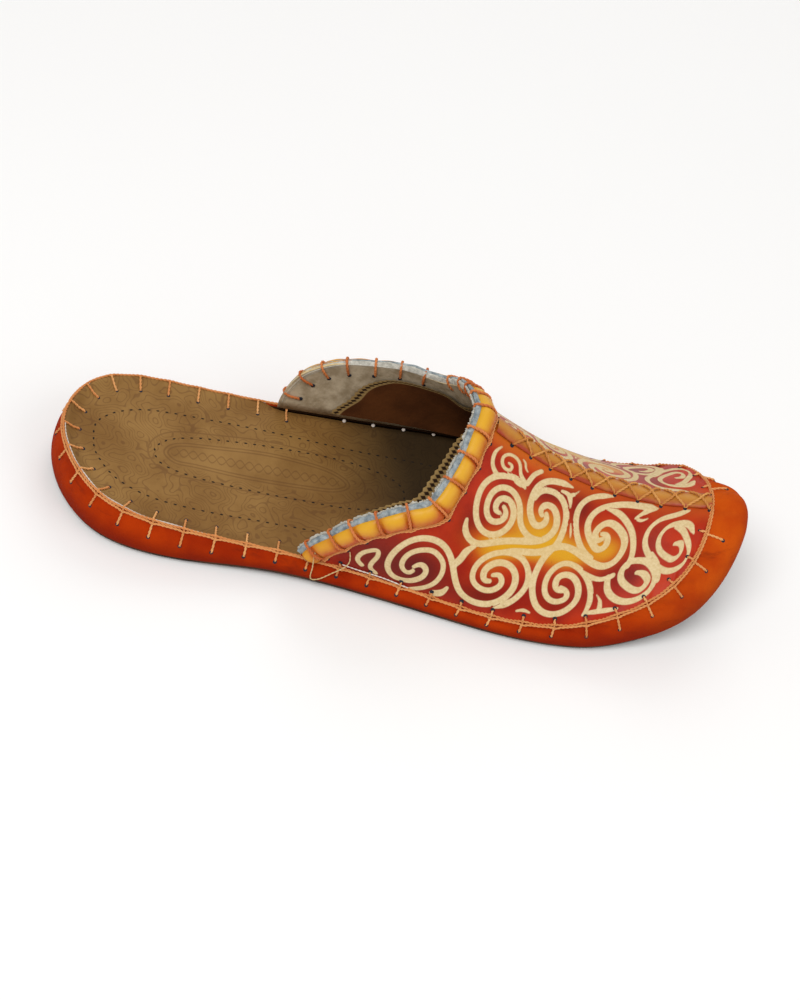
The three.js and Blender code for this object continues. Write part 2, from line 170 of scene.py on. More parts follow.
# medial and lateral: half widths of the ridge; ridge, hem, brow: heights up the side band;
# spread: how far the band bulges; arch: how far the waist is raised
LAST = table(
    "run medial lateral ridge hem brow spread arch",
    [
        (0.0, 0.00, 0.00, 0.510, 0.00, 0.50, 0.0, 0.0),
        (0.1, 0.40, 0.43, 0.490, 0.00, 0.50, 0.5, 0.0),
        (0.2, 0.76, 0.65, 0.430, 0.00, 0.50, 0.8, 0.0),
        (0.3, 0.86, 0.72, 0.360, 0.00, 0.50, 0.9, 0.0),
        (0.4, 0.80, 0.83, 0.260, 0.00, 0.50, 1.1, 0.8),
        (0.5, 0.82, 0.94, 0.205, 0.00, 0.50, 1.2, 0.0),
        (0.6, 0.95, 0.98, 0.205, 0.00, 0.50, 0.8, 0.0),
        (0.7, 0.99, 0.93, 0.255, 0.00, 0.60, 0.0, 0.0),
        (0.8, 0.83, 0.80, 0.450, 0.17, 0.85, -0.8, 0.0),
        (0.9, 0.55, 0.58, 0.760, 0.57, 1.00, -1.2, 0.0),
        (1.0, 0.00, 0.00, 1.000, 1.00, 1.10, 0.0, 0.0),
    ],
)

# Top of the sole, in shares of the length and of the heel seat
BED = table(
    "along rise",
    [
        (0.00, 0.80), (0.10, 0.66), (0.20, 0.53), (0.34, 0.33), (0.48, 0.20), (0.62, 0.19),
        (0.75, 0.215), (0.85, 0.36), (0.92, 0.62), (0.96, 1.10), (1.00, 1.75),
    ],
)

# Line of the centre seam, and how tent-like the section is there
CREST = table(
    "run rise flat",
    [
        (0.350, 1.360, 0.90), (0.430, 1.310, 0.92), (0.490, 1.220, 0.96), (0.550, 1.070, 1.15),
        (0.578, 0.980, 1.40), (0.620, 0.840, 1.50), (0.670, 0.720, 1.60), (0.740, 0.645, 1.70),
        (0.810, 0.635, 1.80), (0.900, 0.670, 1.80), (1.000, 0.690, 1.80),
    ],
)

# Collar line: down from the crest (0) to the ridge (1), and the run it passes
COLLAR = table(
    "down medial lateral",
    [
        (0.00, 0.577, 0.577), (0.28, 0.570, 0.570), (0.43, 0.560, 0.562), (0.56, 0.547, 0.552),
        (0.62, 0.530, 0.540), (0.70, 0.508, 0.490), (0.78, 0.485, 0.430), (0.88, 0.461, 0.395),
        (1.00, 0.437, 0.380),
    ],
)


# Scroll ornament, charted on the flattened panel. A row holds the width of the line at
# its start, along it and at its end, and the points that it passes: how far along from the rear
# corner and how far up from the ridge.
SCROLLS = (
    # First volute by the collar corner, and its arm on to the second
    (1.6, 2.5, 2.0, ((66, 0), (71, 2.6), (75.7, 6), (78.7, 10.8), (78.7, 15.8), (76, 19), (71.8, 21),
        (67.4, 20.6), (63, 17.8), (61.1, 13.8), (61.9, 9.8), (64.3, 8.7), (66.2, 10.6))),
    (1.8, 2.9, 2.0, ((66, 12.4), (68.8, 14.2), (71.4, 12.4), (71, 9.4), (68.6, 6.6), (65.2, 4.4),
        (61.6, 3.6), (58, 4.7), (55.8, 7.6), (55.4, 11.6), (56.5, 16), (59.3, 20.8), (63, 24.1),
        (68, 25.8), (73, 25.2), (78, 22.7), (81.4, 18.8), (83.4, 14.6), (85.6, 9.7), (88.6, 6),
        (92.5, 4.2), (97, 3.9), (102, 5.3), (106, 8.6), (108.3, 13), (107.9, 17.5), (105.2, 20.4),
        (101, 21), (97.3, 19), (95.7, 16), (96.6, 13.4), (98.8, 13.4))),
    (3.2, 3.2, 1.6, ((83, 16.5), (85.4, 19.5), (86.8, 22.3), (90, 25.2))),
    # Second volute
    (1.0, 2.5, 1.8, ((102.5, 3.4), (107, 6), (111, 10), (113, 14.4), (112.7, 19), (110.2, 23), (106, 25),
        (101, 24.9), (96.4, 22.9), (93, 19.6), (91.5, 15.8), (92, 12.4), (94.4, 10.3), (98, 9.6),
        (101.6, 11), (103.3, 13.9), (101.9, 16.2), (99.3, 15.8))),
    # Hook by the third volute, and the long bow under it to the fourth
    (1.6, 2.9, 2.0, ((84.4, 34.6), (84.6, 31), (86.5, 28), (90, 26.4), (95, 27.4), (100, 29),
        (107, 30.2), (113, 31), (117.6, 33.3), (119.8, 37.2), (119.4, 41.6), (117.2, 44.7), (114.3, 45),
        (112.9, 43), (113.7, 41))),
    # Third volute
    (1.0, 2.7, 1.8, ((105, 50), (102, 52.6), (96, 53.3), (91.4, 51.7), (88.2, 48), (87, 43),
        (87.3, 38.4), (88.9, 34.2), (91.9, 31.4), (95.8, 30.8), (99.4, 32.5), (101.9, 36), (102.4, 39.6),
        (101.2, 42.9), (98.7, 44.8), (96.2, 44.4), (94.9, 42.2), (95.4, 39.8), (97, 39.2))),
    (1.8, 2.6, 1.8, ((98, 41.8), (99.2, 40), (98.9, 37.6), (97, 36), (94.4, 35.8), (92, 38),
        (91.3, 42.3), (92.5, 46.2), (95.6, 48.7), (99.4, 48.5), (102.6, 46), (104.6, 41.8),
        (105.6, 37.4), (107.9, 34), (111.4, 32), (115, 32))),
    # Fourth volute
    (0.8, 2.9, 1.8, ((124, 53.6), (119, 54.9), (113.8, 54.5), (110.2, 51.8), (108.5, 47.4), (108.4, 43),
        (109.8, 39.2), (112, 37), (114.3, 37.4), (115.7, 39.7), (115.2, 42))),
    (2.0, 2.7, 1.8, ((109.6, 47), (111.8, 50.2), (115.3, 50.9), (119, 49.6), (121.9, 46.2),
        (123.2, 41.8), (123, 36.4), (121.4, 31), (118.2, 26.4), (115.9, 21), (115.2, 15.4),
        (116.3, 10.4), (119, 6.3), (122.8, 4.4), (127, 4.6), (130.6, 6.6), (132.8, 9.6), (133, 13),
        (131.9, 16.2), (129.7, 18.7), (127, 19.5), (124.6, 18.5), (123.8, 16), (124.9, 13.7),
        (127, 13.2))),
    # Bow from the second volute under the fifth
    (2.2, 3.0, 1.9, ((101, 25), (107, 26.2), (112, 26.6), (116, 27.4), (120, 29.2), (124, 30.2),
        (128.5, 28.9), (133, 25.9), (137, 23), (141, 21.3), (144.6, 22), (147, 25), (147.6, 29),
        (146, 33.1), (143, 36.8), (139.6, 38.6), (136.7, 37.2), (135.8, 34.4), (137, 32.2),
        (139, 32.6))),
    # Fifth volute
    (0.8, 2.6, 2.4, ((140.5, 49.2), (135, 50.2), (130.6, 49.2), (127.9, 46), (127.2, 41.8),
        (127.8, 37.4), (129.4, 33), (132, 28.6), (135.6, 25.2))),
    (0.7, 2.8, 1.9, ((159, 38), (155, 40.4), (150, 42.9), (145, 44.8), (140, 45.5), (136, 44.9),
        (133.2, 42.4), (132.2, 38.6), (133.1, 34.8), (135.5, 30.6), (138, 28.4), (140.1, 29.2),
        (140.7, 31.8), (139.6, 34), (138.2, 34.6))),
    (1.2, 2.5, 2.8, ((139, 44.4), (143, 42), (147, 37.4), (149.9, 32), (151.2, 26.4), (151, 21),
        (150, 18.6))),
    # Sixth volute
    (1.8, 2.4, 1.6, ((126, 14.6), (128.4, 13), (128.8, 10.8), (126.8, 9.4), (123.6, 9.4), (121, 11.4),
        (119.9, 14.8), (120.4, 18.6), (122.6, 22), (126, 23.8), (130, 22.8), (133.8, 19.6),
        (136.4, 15.6), (137.9, 10.6), (137.4, 5.2), (136.6, 3.4))),
    (1.4, 2.0, 2.4, ((133, 20.6), (137, 17.8), (141, 16.2), (145.2, 16.6))),
    # Seventh volute
    (2.4, 2.7, 1.8, ((143.4, 16.4), (143.8, 12), (146.8, 7.4), (151.4, 4.3), (156.6, 3.4), (160.8, 5.2),
        (161.8, 9), (160, 14), (157.2, 17.6), (154, 19.4), (150.6, 19.8), (148.4, 17.6), (148.6, 14),
        (151, 10.6), (154, 7.8), (157, 6.9), (158.8, 8.6), (158, 11.4), (156, 13.7), (154.2, 14.6))),
    # Eighth volute at the toe
    (0.8, 2.3, 1.6, ((173.4, 26.6), (170.2, 28.8), (165.1, 31.3), (160.4, 32.6), (157.2, 31.4),
        (155.7, 28.4), (155.9, 24.6), (157.7, 20.2), (160.5, 15.1), (164.2, 10.2), (167, 7.6),
        (171, 5.4), (173.8, 5), (175.2, 6.4), (175.2, 9.6), (173.4, 15), (170.4, 21.6), (167.5, 25.2))),
    (0.7, 2.2, 1.5, ((177.2, 12.6), (175.0, 18.0), (171.4, 23.2), (167.4, 26.3), (163.6, 27.3),
        (161.6, 25.9), (161, 22.8), (162.9, 17.8), (166.2, 13.4), (169.4, 10.8), (171.2, 11),
        (171.6, 13), (170.1, 16.2), (167.9, 17.8))),
    (2.4, 2.8, 2.0, ((158.6, 19.6), (161, 15), (162.6, 10.6), (163, 6.6))),
    # Small volute under the seam
    (1.0, 1.8, 2.2, ((92.9, 64.1), (90.9, 62), (90.1, 59), (90.7, 55.9), (92.6, 53.4))),
    (1.2, 1.5, 2.2, ((96.8, 58.4), (98.2, 57.6), (97.8, 56), (96.1, 55.9), (94.3, 57.6), (94.2, 60.2),
        (96.3, 61.8), (99.2, 61.2), (101.3, 58.9), (102.1, 55.5), (104.2, 52.5))),
    (2.0, 2.3, 2.1, ((101, 52), (104.6, 51.2), (106.2, 53.4), (107.9, 56.1), (110.6, 58))),
    # Leaves, thorns and hooks between them
    (0.8, 1.3, 0.7, ((102.4, 61), (103.5, 59.8), (103.9, 58), (105.1, 56.4))),
    (1.4, 2.2, 0.7, ((120, 51.6), (122.8, 50.4), (123.8, 48.2), (124.2, 45.2))),
    (2.0, 1.6, 0.5, ((123, 50.2), (124.8, 50.8), (126.9, 52.6))),
    (0.6, 1.4, 0.6, ((125.4, 39.2), (125.9, 36.4), (126.2, 33.6))),
    (1.4, 2.6, 0.6, ((150.6, 37.6), (154, 38.7), (158.6, 37.8))),
    (1.2, 1.6, 0.8, ((151.4, 36.6), (153, 35.7), (155.4, 35.6))),
    (2.4, 2.2, 2.4, ((45.3, 5), (43.2, 7.4), (43.8, 10.2), (47.2, 13.8), (50.3, 14.9), (50.7, 12.4),
        (49.2, 8.2), (49, 4.6), (51.4, 2.6))),
    (1.6, 3.4, 3.6, ((82.6, 6.6), (80.8, 3.8), (77, 1.8))),
    (1.0, 2.0, 1.0, ((111.4, 4), (114, 4.6), (116.4, 4))),
    (0.5, 1.4, 2.2, ((140.2, 10.4), (141.8, 7.6), (142.2, 4.4))),
    (1.6, 2.2, 1.4, ((137, 4), (142, 3.6), (149, 2.4))),
)

# Soft spots of dye: place on the panel, how far each reaches along and up, and how strong it is
GLOW = table(
    "along up wide tall share",
    [
        (104, 28, 15, 5, 1.0), (117, 31, 10, 7, 1.0), (127, 27, 9, 6, 0.85), (141, 27, 8, 6, 0.75),
        (97, 24, 8, 5, 0.6), (108, 37, 8, 7, 0.6), (137, 34, 6, 6, 0.45), (104, 43, 4, 8, 0.4),
        (117, 40, 6, 6, 0.45), (97, 18, 6, 5, 0.3),
    ],
)
MAROON = table(
    "along up wide tall share",
    [
        (52, 10, 22, 16, 0.85), (68, 12, 12, 10, 1.0), (96, 7, 14, 6, 0.8), (86, 32, 6, 8, 0.7),
        (96, 42, 6, 6, 0.45), (117, 50, 9, 4, 0.6), (129, 45, 5, 7, 0.7), (125, 10, 10, 8, 0.55),
        (143, 17, 9, 6, 0.4), (152, 14, 4, 4, 0.6), (159, 27, 4, 7, 0.4),
    ],
)

# Ornament: how full its lines are drawn, how they are sampled and tapered, and what marks a point
# far from them or on the cut edge
INK = 0.9
SCROLL_STEP = 0.25
SCROLL_TAPER = 4
FAR_OUT = 9.0
CUT_EDGE = -40.0

# Lining: how far it is set back from the collar, by the place along it, and how deep it lies
SET_BACK = table(
    "across gap depth",
    [
        (-1.00, 0.016, 3.0), (-0.85, 0.004, 4.0), (-0.65, -0.005, 5.2), (-0.45, -0.008, 6.0),
        (-0.28, -0.006, 6.2), (-0.12, 0.002, 5.5), (0.05, 0.012, 4.0), (0.35, 0.022, 3.0),
        (0.56, 0.026, 3.0), (0.69, 0.038, 3.0), (0.75, 0.050, 3.0), (0.82, 0.058, 3.0),
        (0.91, 0.066, 3.0), (1.00, 0.057, 3.0),
    ],
)

# Half a section of the strip: out from the seam in shares of its half width, and up
STRIP_SECTION = table(
    "out lift",
    [(0, 1.0), (0.2, 1.1), (0.45, 1.2), (0.7, 1.15), (0.92, 1.0), (1.0, 0.6), (1.0, 0.1)],
)

# Rows of the raw and the frayed edge: in from the collar edge, and off the face
RAW_ROWS = ((1.4, 0.4), (-0.5, 0.8), (-EDGE_REACH, 0.5), (-EDGE_REACH, -0.2), (-0.4, -1.2), (1.5, -1.9))
FRAY_ROWS = ((0.6, -0.3), (-1.0, -0.9), (-EDGE_REACH * 1.15, -0.7), (-EDGE_REACH * 1.1, -1.3), (0.5, -2.1))

# Whip stitches, free along the collar and snug on the ear: in from its edge, off the face, and
# how much of the stitch's slant they have taken
WRAPPED = table(
    "reach lift turn",
    [
        (8.6, -0.2, 0.0), (7.6, 0.75, 0.0), (6.0, 2.3, 0.2), (3.8, 2.95, 0.5), (1.4, 2.5, 0.7),
        (-0.6, 1.5, 0.9), (-EDGE_REACH - 0.4, 0.2, 1.0), (-1.4, -1.6, 1.0), (1.0, -2.4, 1.0),
        (2.6, -2.4, 1.0), (3.8, -2.1, 1.0),
    ],
)
SNUG = table(
    "reach lift turn",
    [
        (8.6, -0.2, 0.0), (7.6, 0.75, 0.0), (6.0, 2.2, 0.1), (3.8, 2.8, 0.2), (1.4, 2.3, 0.3),
        (0.1, 1.3, 0.3), (-0.5, 0.1, 0.3), (-0.3, -1.4, 0.3), (0.9, -2.4, 0.3), (4.5, -2.45, 0.3),
        (6.5, -2.1, 0.3),
    ],
)

# Stitches at the ridge: how far they reach up the upper and how high they lie, and how far in
# over the insole
LEG_UP = ((0.8, 0.5), (1.5, 0.45), (2.1, 0.3), (2.5, -0.3))
LEG_IN = (1.0, 2.4, 4.0, 5.4, 6.0)

# A thread end that hangs in a loop at the rear corner of the collar, caught at both ends
LOOSE_END = (
    (110.2, -39.6, 21.6), (109.0, -40.4, 15.0), (109.2, -41.9, 9.0), (109.8, -42.5, 4.4),
    (111.4, -42.7, 5.0), (115.5, -42.4, 8.4), (120.2, -41.0, 12.0), (122.4, -40.6, 16.0),
    (121.8, -39.3, 20.2),
)

# Dome of a dot: rings in shares of its radius and their heights, below its top
DOT_TOP = 0.1
DOT_RINGS = ((0.6, 0.1), (1.0, 0.04), (1.15, -0.25))
DOT_SIDES = 8

# Curves on the insole, charted from the heel: two rows of stitches and a pressed oval
OUTER_STITCHES = (
    (16, 0), (17, -7), (20, -14.5), (30, -24), (45, -28.5), (65, -27.8), (90, -24), (115, -21.5),
    (145, -22), (175, -22), (198, -12), (203, 2), (196, 15), (172, 25), (145, 27.5), (115, 26),
    (85, 23.5), (60, 20.5), (36, 16.5), (24, 11), (18, 5),
)
INNER_STITCHES = (
    (40.4, -4), (45, -10.5), (58, -12.4), (76, -10.8), (100, -8), (120, -5.5), (136, 1), (139, 8),
    (134, 15), (120, 18.8), (104, 18.4), (80, 14.5), (61, 10.3), (52, 7.4), (44, 2.8),
)
PRESSED_OVAL = (
    (44, -3.6), (49, -8), (58, -7.2), (76, -5.4), (101, -1.4), (112, 1.2), (117, 5.6), (114, 10),
    (104, 12.6), (83, 11.4), (63, 7), (48, 2.6),
)
OVAL_AXIS = ((46, -2.4), (114, 6.6))


def steady(rows, key, value, level_ends=True):
    """A curve through table rows that keeps level stretches level, and its ends too when asked."""
    xs, ys = rows[key], rows[value]
    rise = np.diff(ys) / np.diff(xs)
    lean = np.zeros(len(xs))
    same_way = rise[:-1] * rise[1:] > 0
    lean[1:-1][same_way] = (2 * rise[:-1] * rise[1:] / (rise[:-1] + rise[1:] + 1e-12))[same_way]
    if not level_ends:
        lean[0], lean[-1] = rise[0], rise[-1]

    def curve(x):
        i = np.clip(np.searchsorted(xs, x) - 1, 0, len(xs) - 2)
        h = xs[i + 1] - xs[i]
        t = np.clip((x - xs[i]) / h, 0, 1)
        u = 1 - t
        ends = ys[i] * u * u * (1 + 2 * t) + ys[i + 1] * t * t * (3 - 2 * t)
        return ends + h * (lean[i] * t * u * u - lean[i + 1] * t * t * u)

    return curve


def smooth(rows, key, value):
    """A curve through table rows that bends evenly."""
    xs, ys = rows[key], rows[value]
    n = len(xs)
    grid = np.eye(n)
    pull = np.zeros(n)
    for i in range(1, n - 1):
        before, after = xs[i] - xs[i - 1], xs[i + 1] - xs[i]
        grid[i, i - 1 : i + 2] = before, 2 * (before + after), after
        pull[i] = 6 * ((ys[i + 1] - ys[i]) / after - (ys[i] - ys[i - 1]) / before)
    bend = np.linalg.solve(grid, pull)

    def curve(x):
        i = np.clip(np.searchsorted(xs, x) - 1, 0, n - 2)
        h = xs[i + 1] - xs[i]
        a, b = (xs[i + 1] - x) / h, (x - xs[i]) / h
        curl = (a**3 - a) * bend[i] + (b**3 - b) * bend[i + 1]
        return a * ys[i] + b * ys[i + 1] + curl * h * h / 6

    return curve


medial_at, lateral_at = (smooth(LAST, "run", key) for key in ("medial", "lateral"))
ridge_at, hem_at, brow_at, arch_at = (steady(LAST, "run", key) for key in ("ridge", "hem", "brow", "arch"))
spread_at = steady(LAST, "run", "spread", False)
bed_at = smooth(BED, "along", "rise")
crest_at, flat_at = (steady(CREST, "run", key) for key in ("rise", "flat"))
collar_medial, collar_lateral = (steady(COLLAR, "down", key) for key in ("medial", "lateral"))


def unit(v):
    return v / np.maximum(np.linalg.norm(v, axis=-1, keepdims=True), 1e-12)


def ramp_up(x, low, high):
    t = np.clip((np.asarray(x, float) - low) / (high - low), 0, 1)
    return t * t * (3 - 2 * t)


def hump(x, reach):
    return np.exp(-((x / reach) ** 2))


def gap_to(values, spots, lap=np.inf):
    gap = np.abs(values[:, None] - spots)
    return np.minimum(gap, lap - gap).min(1)


# A turn of 0 is the heel, 1 the toe, and 1 to 2 comes back along the outer side
def around(count):
    return np.linspace(0, 2, count + 1)[:-1]


def run_of(turn):
    return np.where(turn <= 1, turn, 2 - turn)


def side_of(turn):
    return np.where(turn <= 1, -1.0, 1.0)


def swept(run, back, front):
    return back + (front - back) * (1 - np.cos(np.pi * run)) / 2


def half_width(turn):
    run = run_of(turn)
    return np.where(turn <= 1, -medial_at(run), lateral_at(run)) * BALL_WIDTH / 2


def ridge_height(run):
    return ridge_at(run) * TOE_TOP


def hem_height(run):
    return SOLE_EDGE + hem_at(run) * TOE_CURL + arch_at(run) * ARCH_RISE


def bed_height(x):
    return bed_at(x / LENGTH) * HEEL_SEAT


def insole_top(x):
    return bed_height(x) + INSOLE_TOP


# Outer face of the side band, from the ridge (level 0) to the hem (level 1)
def band_face(turn, level):
    turn, level = np.broadcast_arrays(np.asarray(turn, float), np.asarray(level, float))
    lap = turn % 2
    run = run_of(lap)
    half = half_width(lap)
    bulge = spread_at(run) * side_of(lap)
    top, low = ridge_height(run), hem_height(run)
    a, b, c = (1 - level) ** 2, 2 * level * (1 - level), level**2
    x = a * swept(run, RIDGE_BACK, LENGTH - RIDGE_FRONT)
    x = x + b * swept(run, BROW_BACK, LENGTH - BROW_FRONT)
    x = x + c * swept(run, HEM_BACK, LENGTH - HEM_FRONT)
    y = a * half + b * (half + bulge * BAND_SPREAD) + c * (half + bulge * HEM_SPREAD)
    z = a * top + b * (low + (top - low) * brow_at(run)) + c * low
    return np.stack([x, y, z], -1)


def band_inward(turn, level):
    low = np.minimum(level, 1 - BAND_PROBE)
    ahead = band_face(turn + BAND_PROBE, level) - band_face(turn - BAND_PROBE, level)
    return unit(np.cross(ahead, band_face(turn, low + BAND_PROBE) - band_face(turn, low)))


def band_point(turn, level, inset):
    return band_face(turn, level) + band_inward(turn, level) * np.asarray(inset, float)[..., None]


def band_over_bed(turn, over, inset):
    """Level on the inside of the band that stands a given height over the bed."""
    high, low = np.zeros_like(turn), np.ones_like(turn)
    for _ in range(HALVINGS):
        mid = (high + low) / 2
        point = band_point(turn, mid, inset)
        above = point[..., 2] > bed_height(point[..., 0]) + over
        high = np.where(above, mid, high)
        low = np.where(above, low, mid)
    return (high + low) / 2


# Face of the upper. across runs from -1 at the inner ridge over 0 at the crest to 1.
def upper_face(run, across, inset=0.0):
    run, across = np.broadcast_arrays(np.asarray(run, float), np.asarray(across, float))
    turn = np.where(across < 0, run, 2 - run)
    side = side_of(turn)
    angle = np.abs(across) * np.pi / 2
    flat = flat_at(run)
    wide = np.sin(angle) ** flat
    tall = np.maximum(np.cos(angle), 0) ** flat
    flare = EAR_FLARE * np.clip((FLARE_END - run) / FLARE_FADE, 0, 1) * np.sin(2 * angle) * side
    half = half_width(turn) - inset * side * np.minimum(1, (1 - run) * TOE_CLOSE)
    shift = CREST_SHIFT * (1 - wide) * np.clip((1 - run) / SHIFT_FADE, 0, 1)
    foot = ridge_height(run) + RIDGE_GAP
    crown = crest_at(run) * INSTEP_TOP - inset
    x = swept(run, RIDGE_BACK, LENGTH - RIDGE_FRONT - inset)
    return np.stack([x, half * wide + flare + shift, foot + (crown - foot) * tall], -1)


def upper_normal(run, across):
    left, right = np.minimum(across + FACE_PROBE, 1), np.maximum(across - FACE_PROBE, -1)
    ahead = upper_face(run + FACE_PROBE, across) - upper_face(run - FACE_PROBE, across)
    return unit(np.cross(ahead, upper_face(run, left) - upper_face(run, right)))


def over_upper(run, across, lift):
    return upper_face(run, across) + upper_normal(run, across) * np.asarray(lift, float)[..., None]


def collar_run(across):
    down = np.abs(across)
    return np.where(across < 0, collar_medial(down), collar_lateral(down))


# The middle of the dressed plan stands on the origin, as the solids do
plan = band_face(around(720)[:, None], np.linspace(0, 1, 15)).reshape(-1, 3)
ORIGIN = np.append((plan.min(0) + plan.max(0))[:2] / 2, 0)


def place(points):
    return (np.asarray(points, float).reshape(-1, 3) - ORIGIN) * MM


# Pieces from grids of points and from tubes
def grid_faces(rows, cols, closed=False, flip=False, start=0):
    i, j = np.meshgrid(np.arange(rows - 1), np.arange(cols if closed else cols - 1), indexing="ij")
    k = (j + 1) % cols
    faces = np.stack([i * cols + j, i * cols + k, (i + 1) * cols + k, (i + 1) * cols + j], -1)
    faces = faces.reshape(-1, 4) + start
    return faces[:, ::-1] if flip else faces


def piece(name, points, faces, material, replaces=None, marks=None):
    mesh = bpy.data.meshes.new(name)
    mesh.from_pydata(place(points).tolist(), [], [list(face) for face in faces])
    for mark, values in (marks or {}).items():
        spots = mesh.attributes.new(mark, "FLOAT", "POINT")
        spots.data.foreach_set("value", np.asarray(values, np.float32).ravel())
    mesh.shade_smooth()
    mesh.materials.append(material)
    made = bpy.data.objects.new(name, mesh)
    bpy.context.scene.collection.objects.link(made)
    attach(made, "root")
    if replaces:
        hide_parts(replaces)


def sheet_piece(name, points, material, replaces=None, marks=None, flip=False):
    faces = grid_faces(*points.shape[:2], False, flip)
    piece(name, points, faces, material, replaces, marks)


def along_path(points):
    return np.concatenate([[0], np.cumsum(np.linalg.norm(np.diff(points, axis=0), axis=1))])


def even_path(points, step, closed=False):
    points = np.asarray(points, float)
    if closed:
        points = np.vstack([points, points[:1]])
    at = along_path(points)
    want = np.linspace(0, at[-1], max(int(round(at[-1] / step)), 2) + 1)
    return np.stack([np.interp(want, at, points[:, k]) for k in range(3)], -1)


def evenly(path, keys, step, to_ends=False):
    """Keys at even distances along a path, up to its ends or half a step short of them."""
    at = along_path(path)
    count = int(round(at[-1] / step))
    spots = np.arange(count + 1) if to_ends else np.arange(count) + 0.5
    return np.interp(spots * at[-1] / count, at, keys)


def rounded(points, step=0.5):
    points = np.asarray(points, float)
    at = along_path(points)
    rows = {"at": at, "x": points[:, 0], "y": points[:, 1], "z": points[:, 2]}
    want = np.linspace(0, at[-1], max(int(at[-1] / step), 3) + 1)
    return np.stack([smooth(rows, "at", key)(want) for key in "xyz"], -1)


def sides_of(path):
    """Two directions square to a path, carried along it without a twist."""
    tangent = unit(np.gradient(path, axis=0))
    normal = np.zeros_like(path)
    guide = UP if abs(tangent[0, 2]) < 0.9 else np.array([1.0, 0.0, 0.0])
    normal[0] = unit(guide - tangent[0] * (guide @ tangent[0]))
    for i in range(1, len(path)):
        normal[i] = unit(normal[i - 1] - tangent[i] * (normal[i - 1] @ tangent[i]))
    return normal, np.cross(tangent, normal)


def tube(path, girth, sides=6):
    normal, side = sides_of(path)
    angle = np.linspace(0, 2 * np.pi, sides + 1)[:-1]
    ring = normal[:, None] * np.cos(angle)[None, :, None] + side[:, None] * np.sin(angle)[None, :, None]
    return path[:, None] + ring * girth[:, None, None]


def thread_piece(name, paths, material, thickness):
    """A thread of two strands along each path, as one mesh."""
    radius = THREAD * thickness
    points, faces, shades, start = [], [], [], 0
    for number, rough in enumerate(paths):
        path = even_path(rough, THREAD_STEP)
        at = along_path(path)
        blunt = np.minimum(1, 0.45 + np.minimum(at, at[-1] - at) / (2 * radius))
        normal, side = sides_of(path)
        for strand in (0, np.pi):
            turn = (at / PLY_PITCH * 2 * np.pi + strand + number)[:, None]
            wound = path + (normal * np.cos(turn) + side * np.sin(turn)) * radius * PLY_OFFSET
            skin = tube(wound, radius * PLY_RADIUS * blunt)
            rows, cols = skin.shape[:2]
            points.append(skin.reshape(-1, 3))
            faces.append(grid_faces(rows, cols, True, False, start))
            shades.append(np.full(rows * cols, (number * 0.37) % 1.0))
            start += rows * cols
    marks = {"strand": np.concatenate(shades)}
    piece(name, np.vstack(points), np.vstack(faces), material, marks=marks)


# Materials: colours are given as seen on a screen
def tint(red, green, blue):
    seen = np.array([red, green, blue]) / 255
    linear = np.where(seen <= 0.04045, seen / 12.92, ((seen + 0.055) / 1.055) ** 2.4)
    return (*[float(v) for v in linear], 1.0)


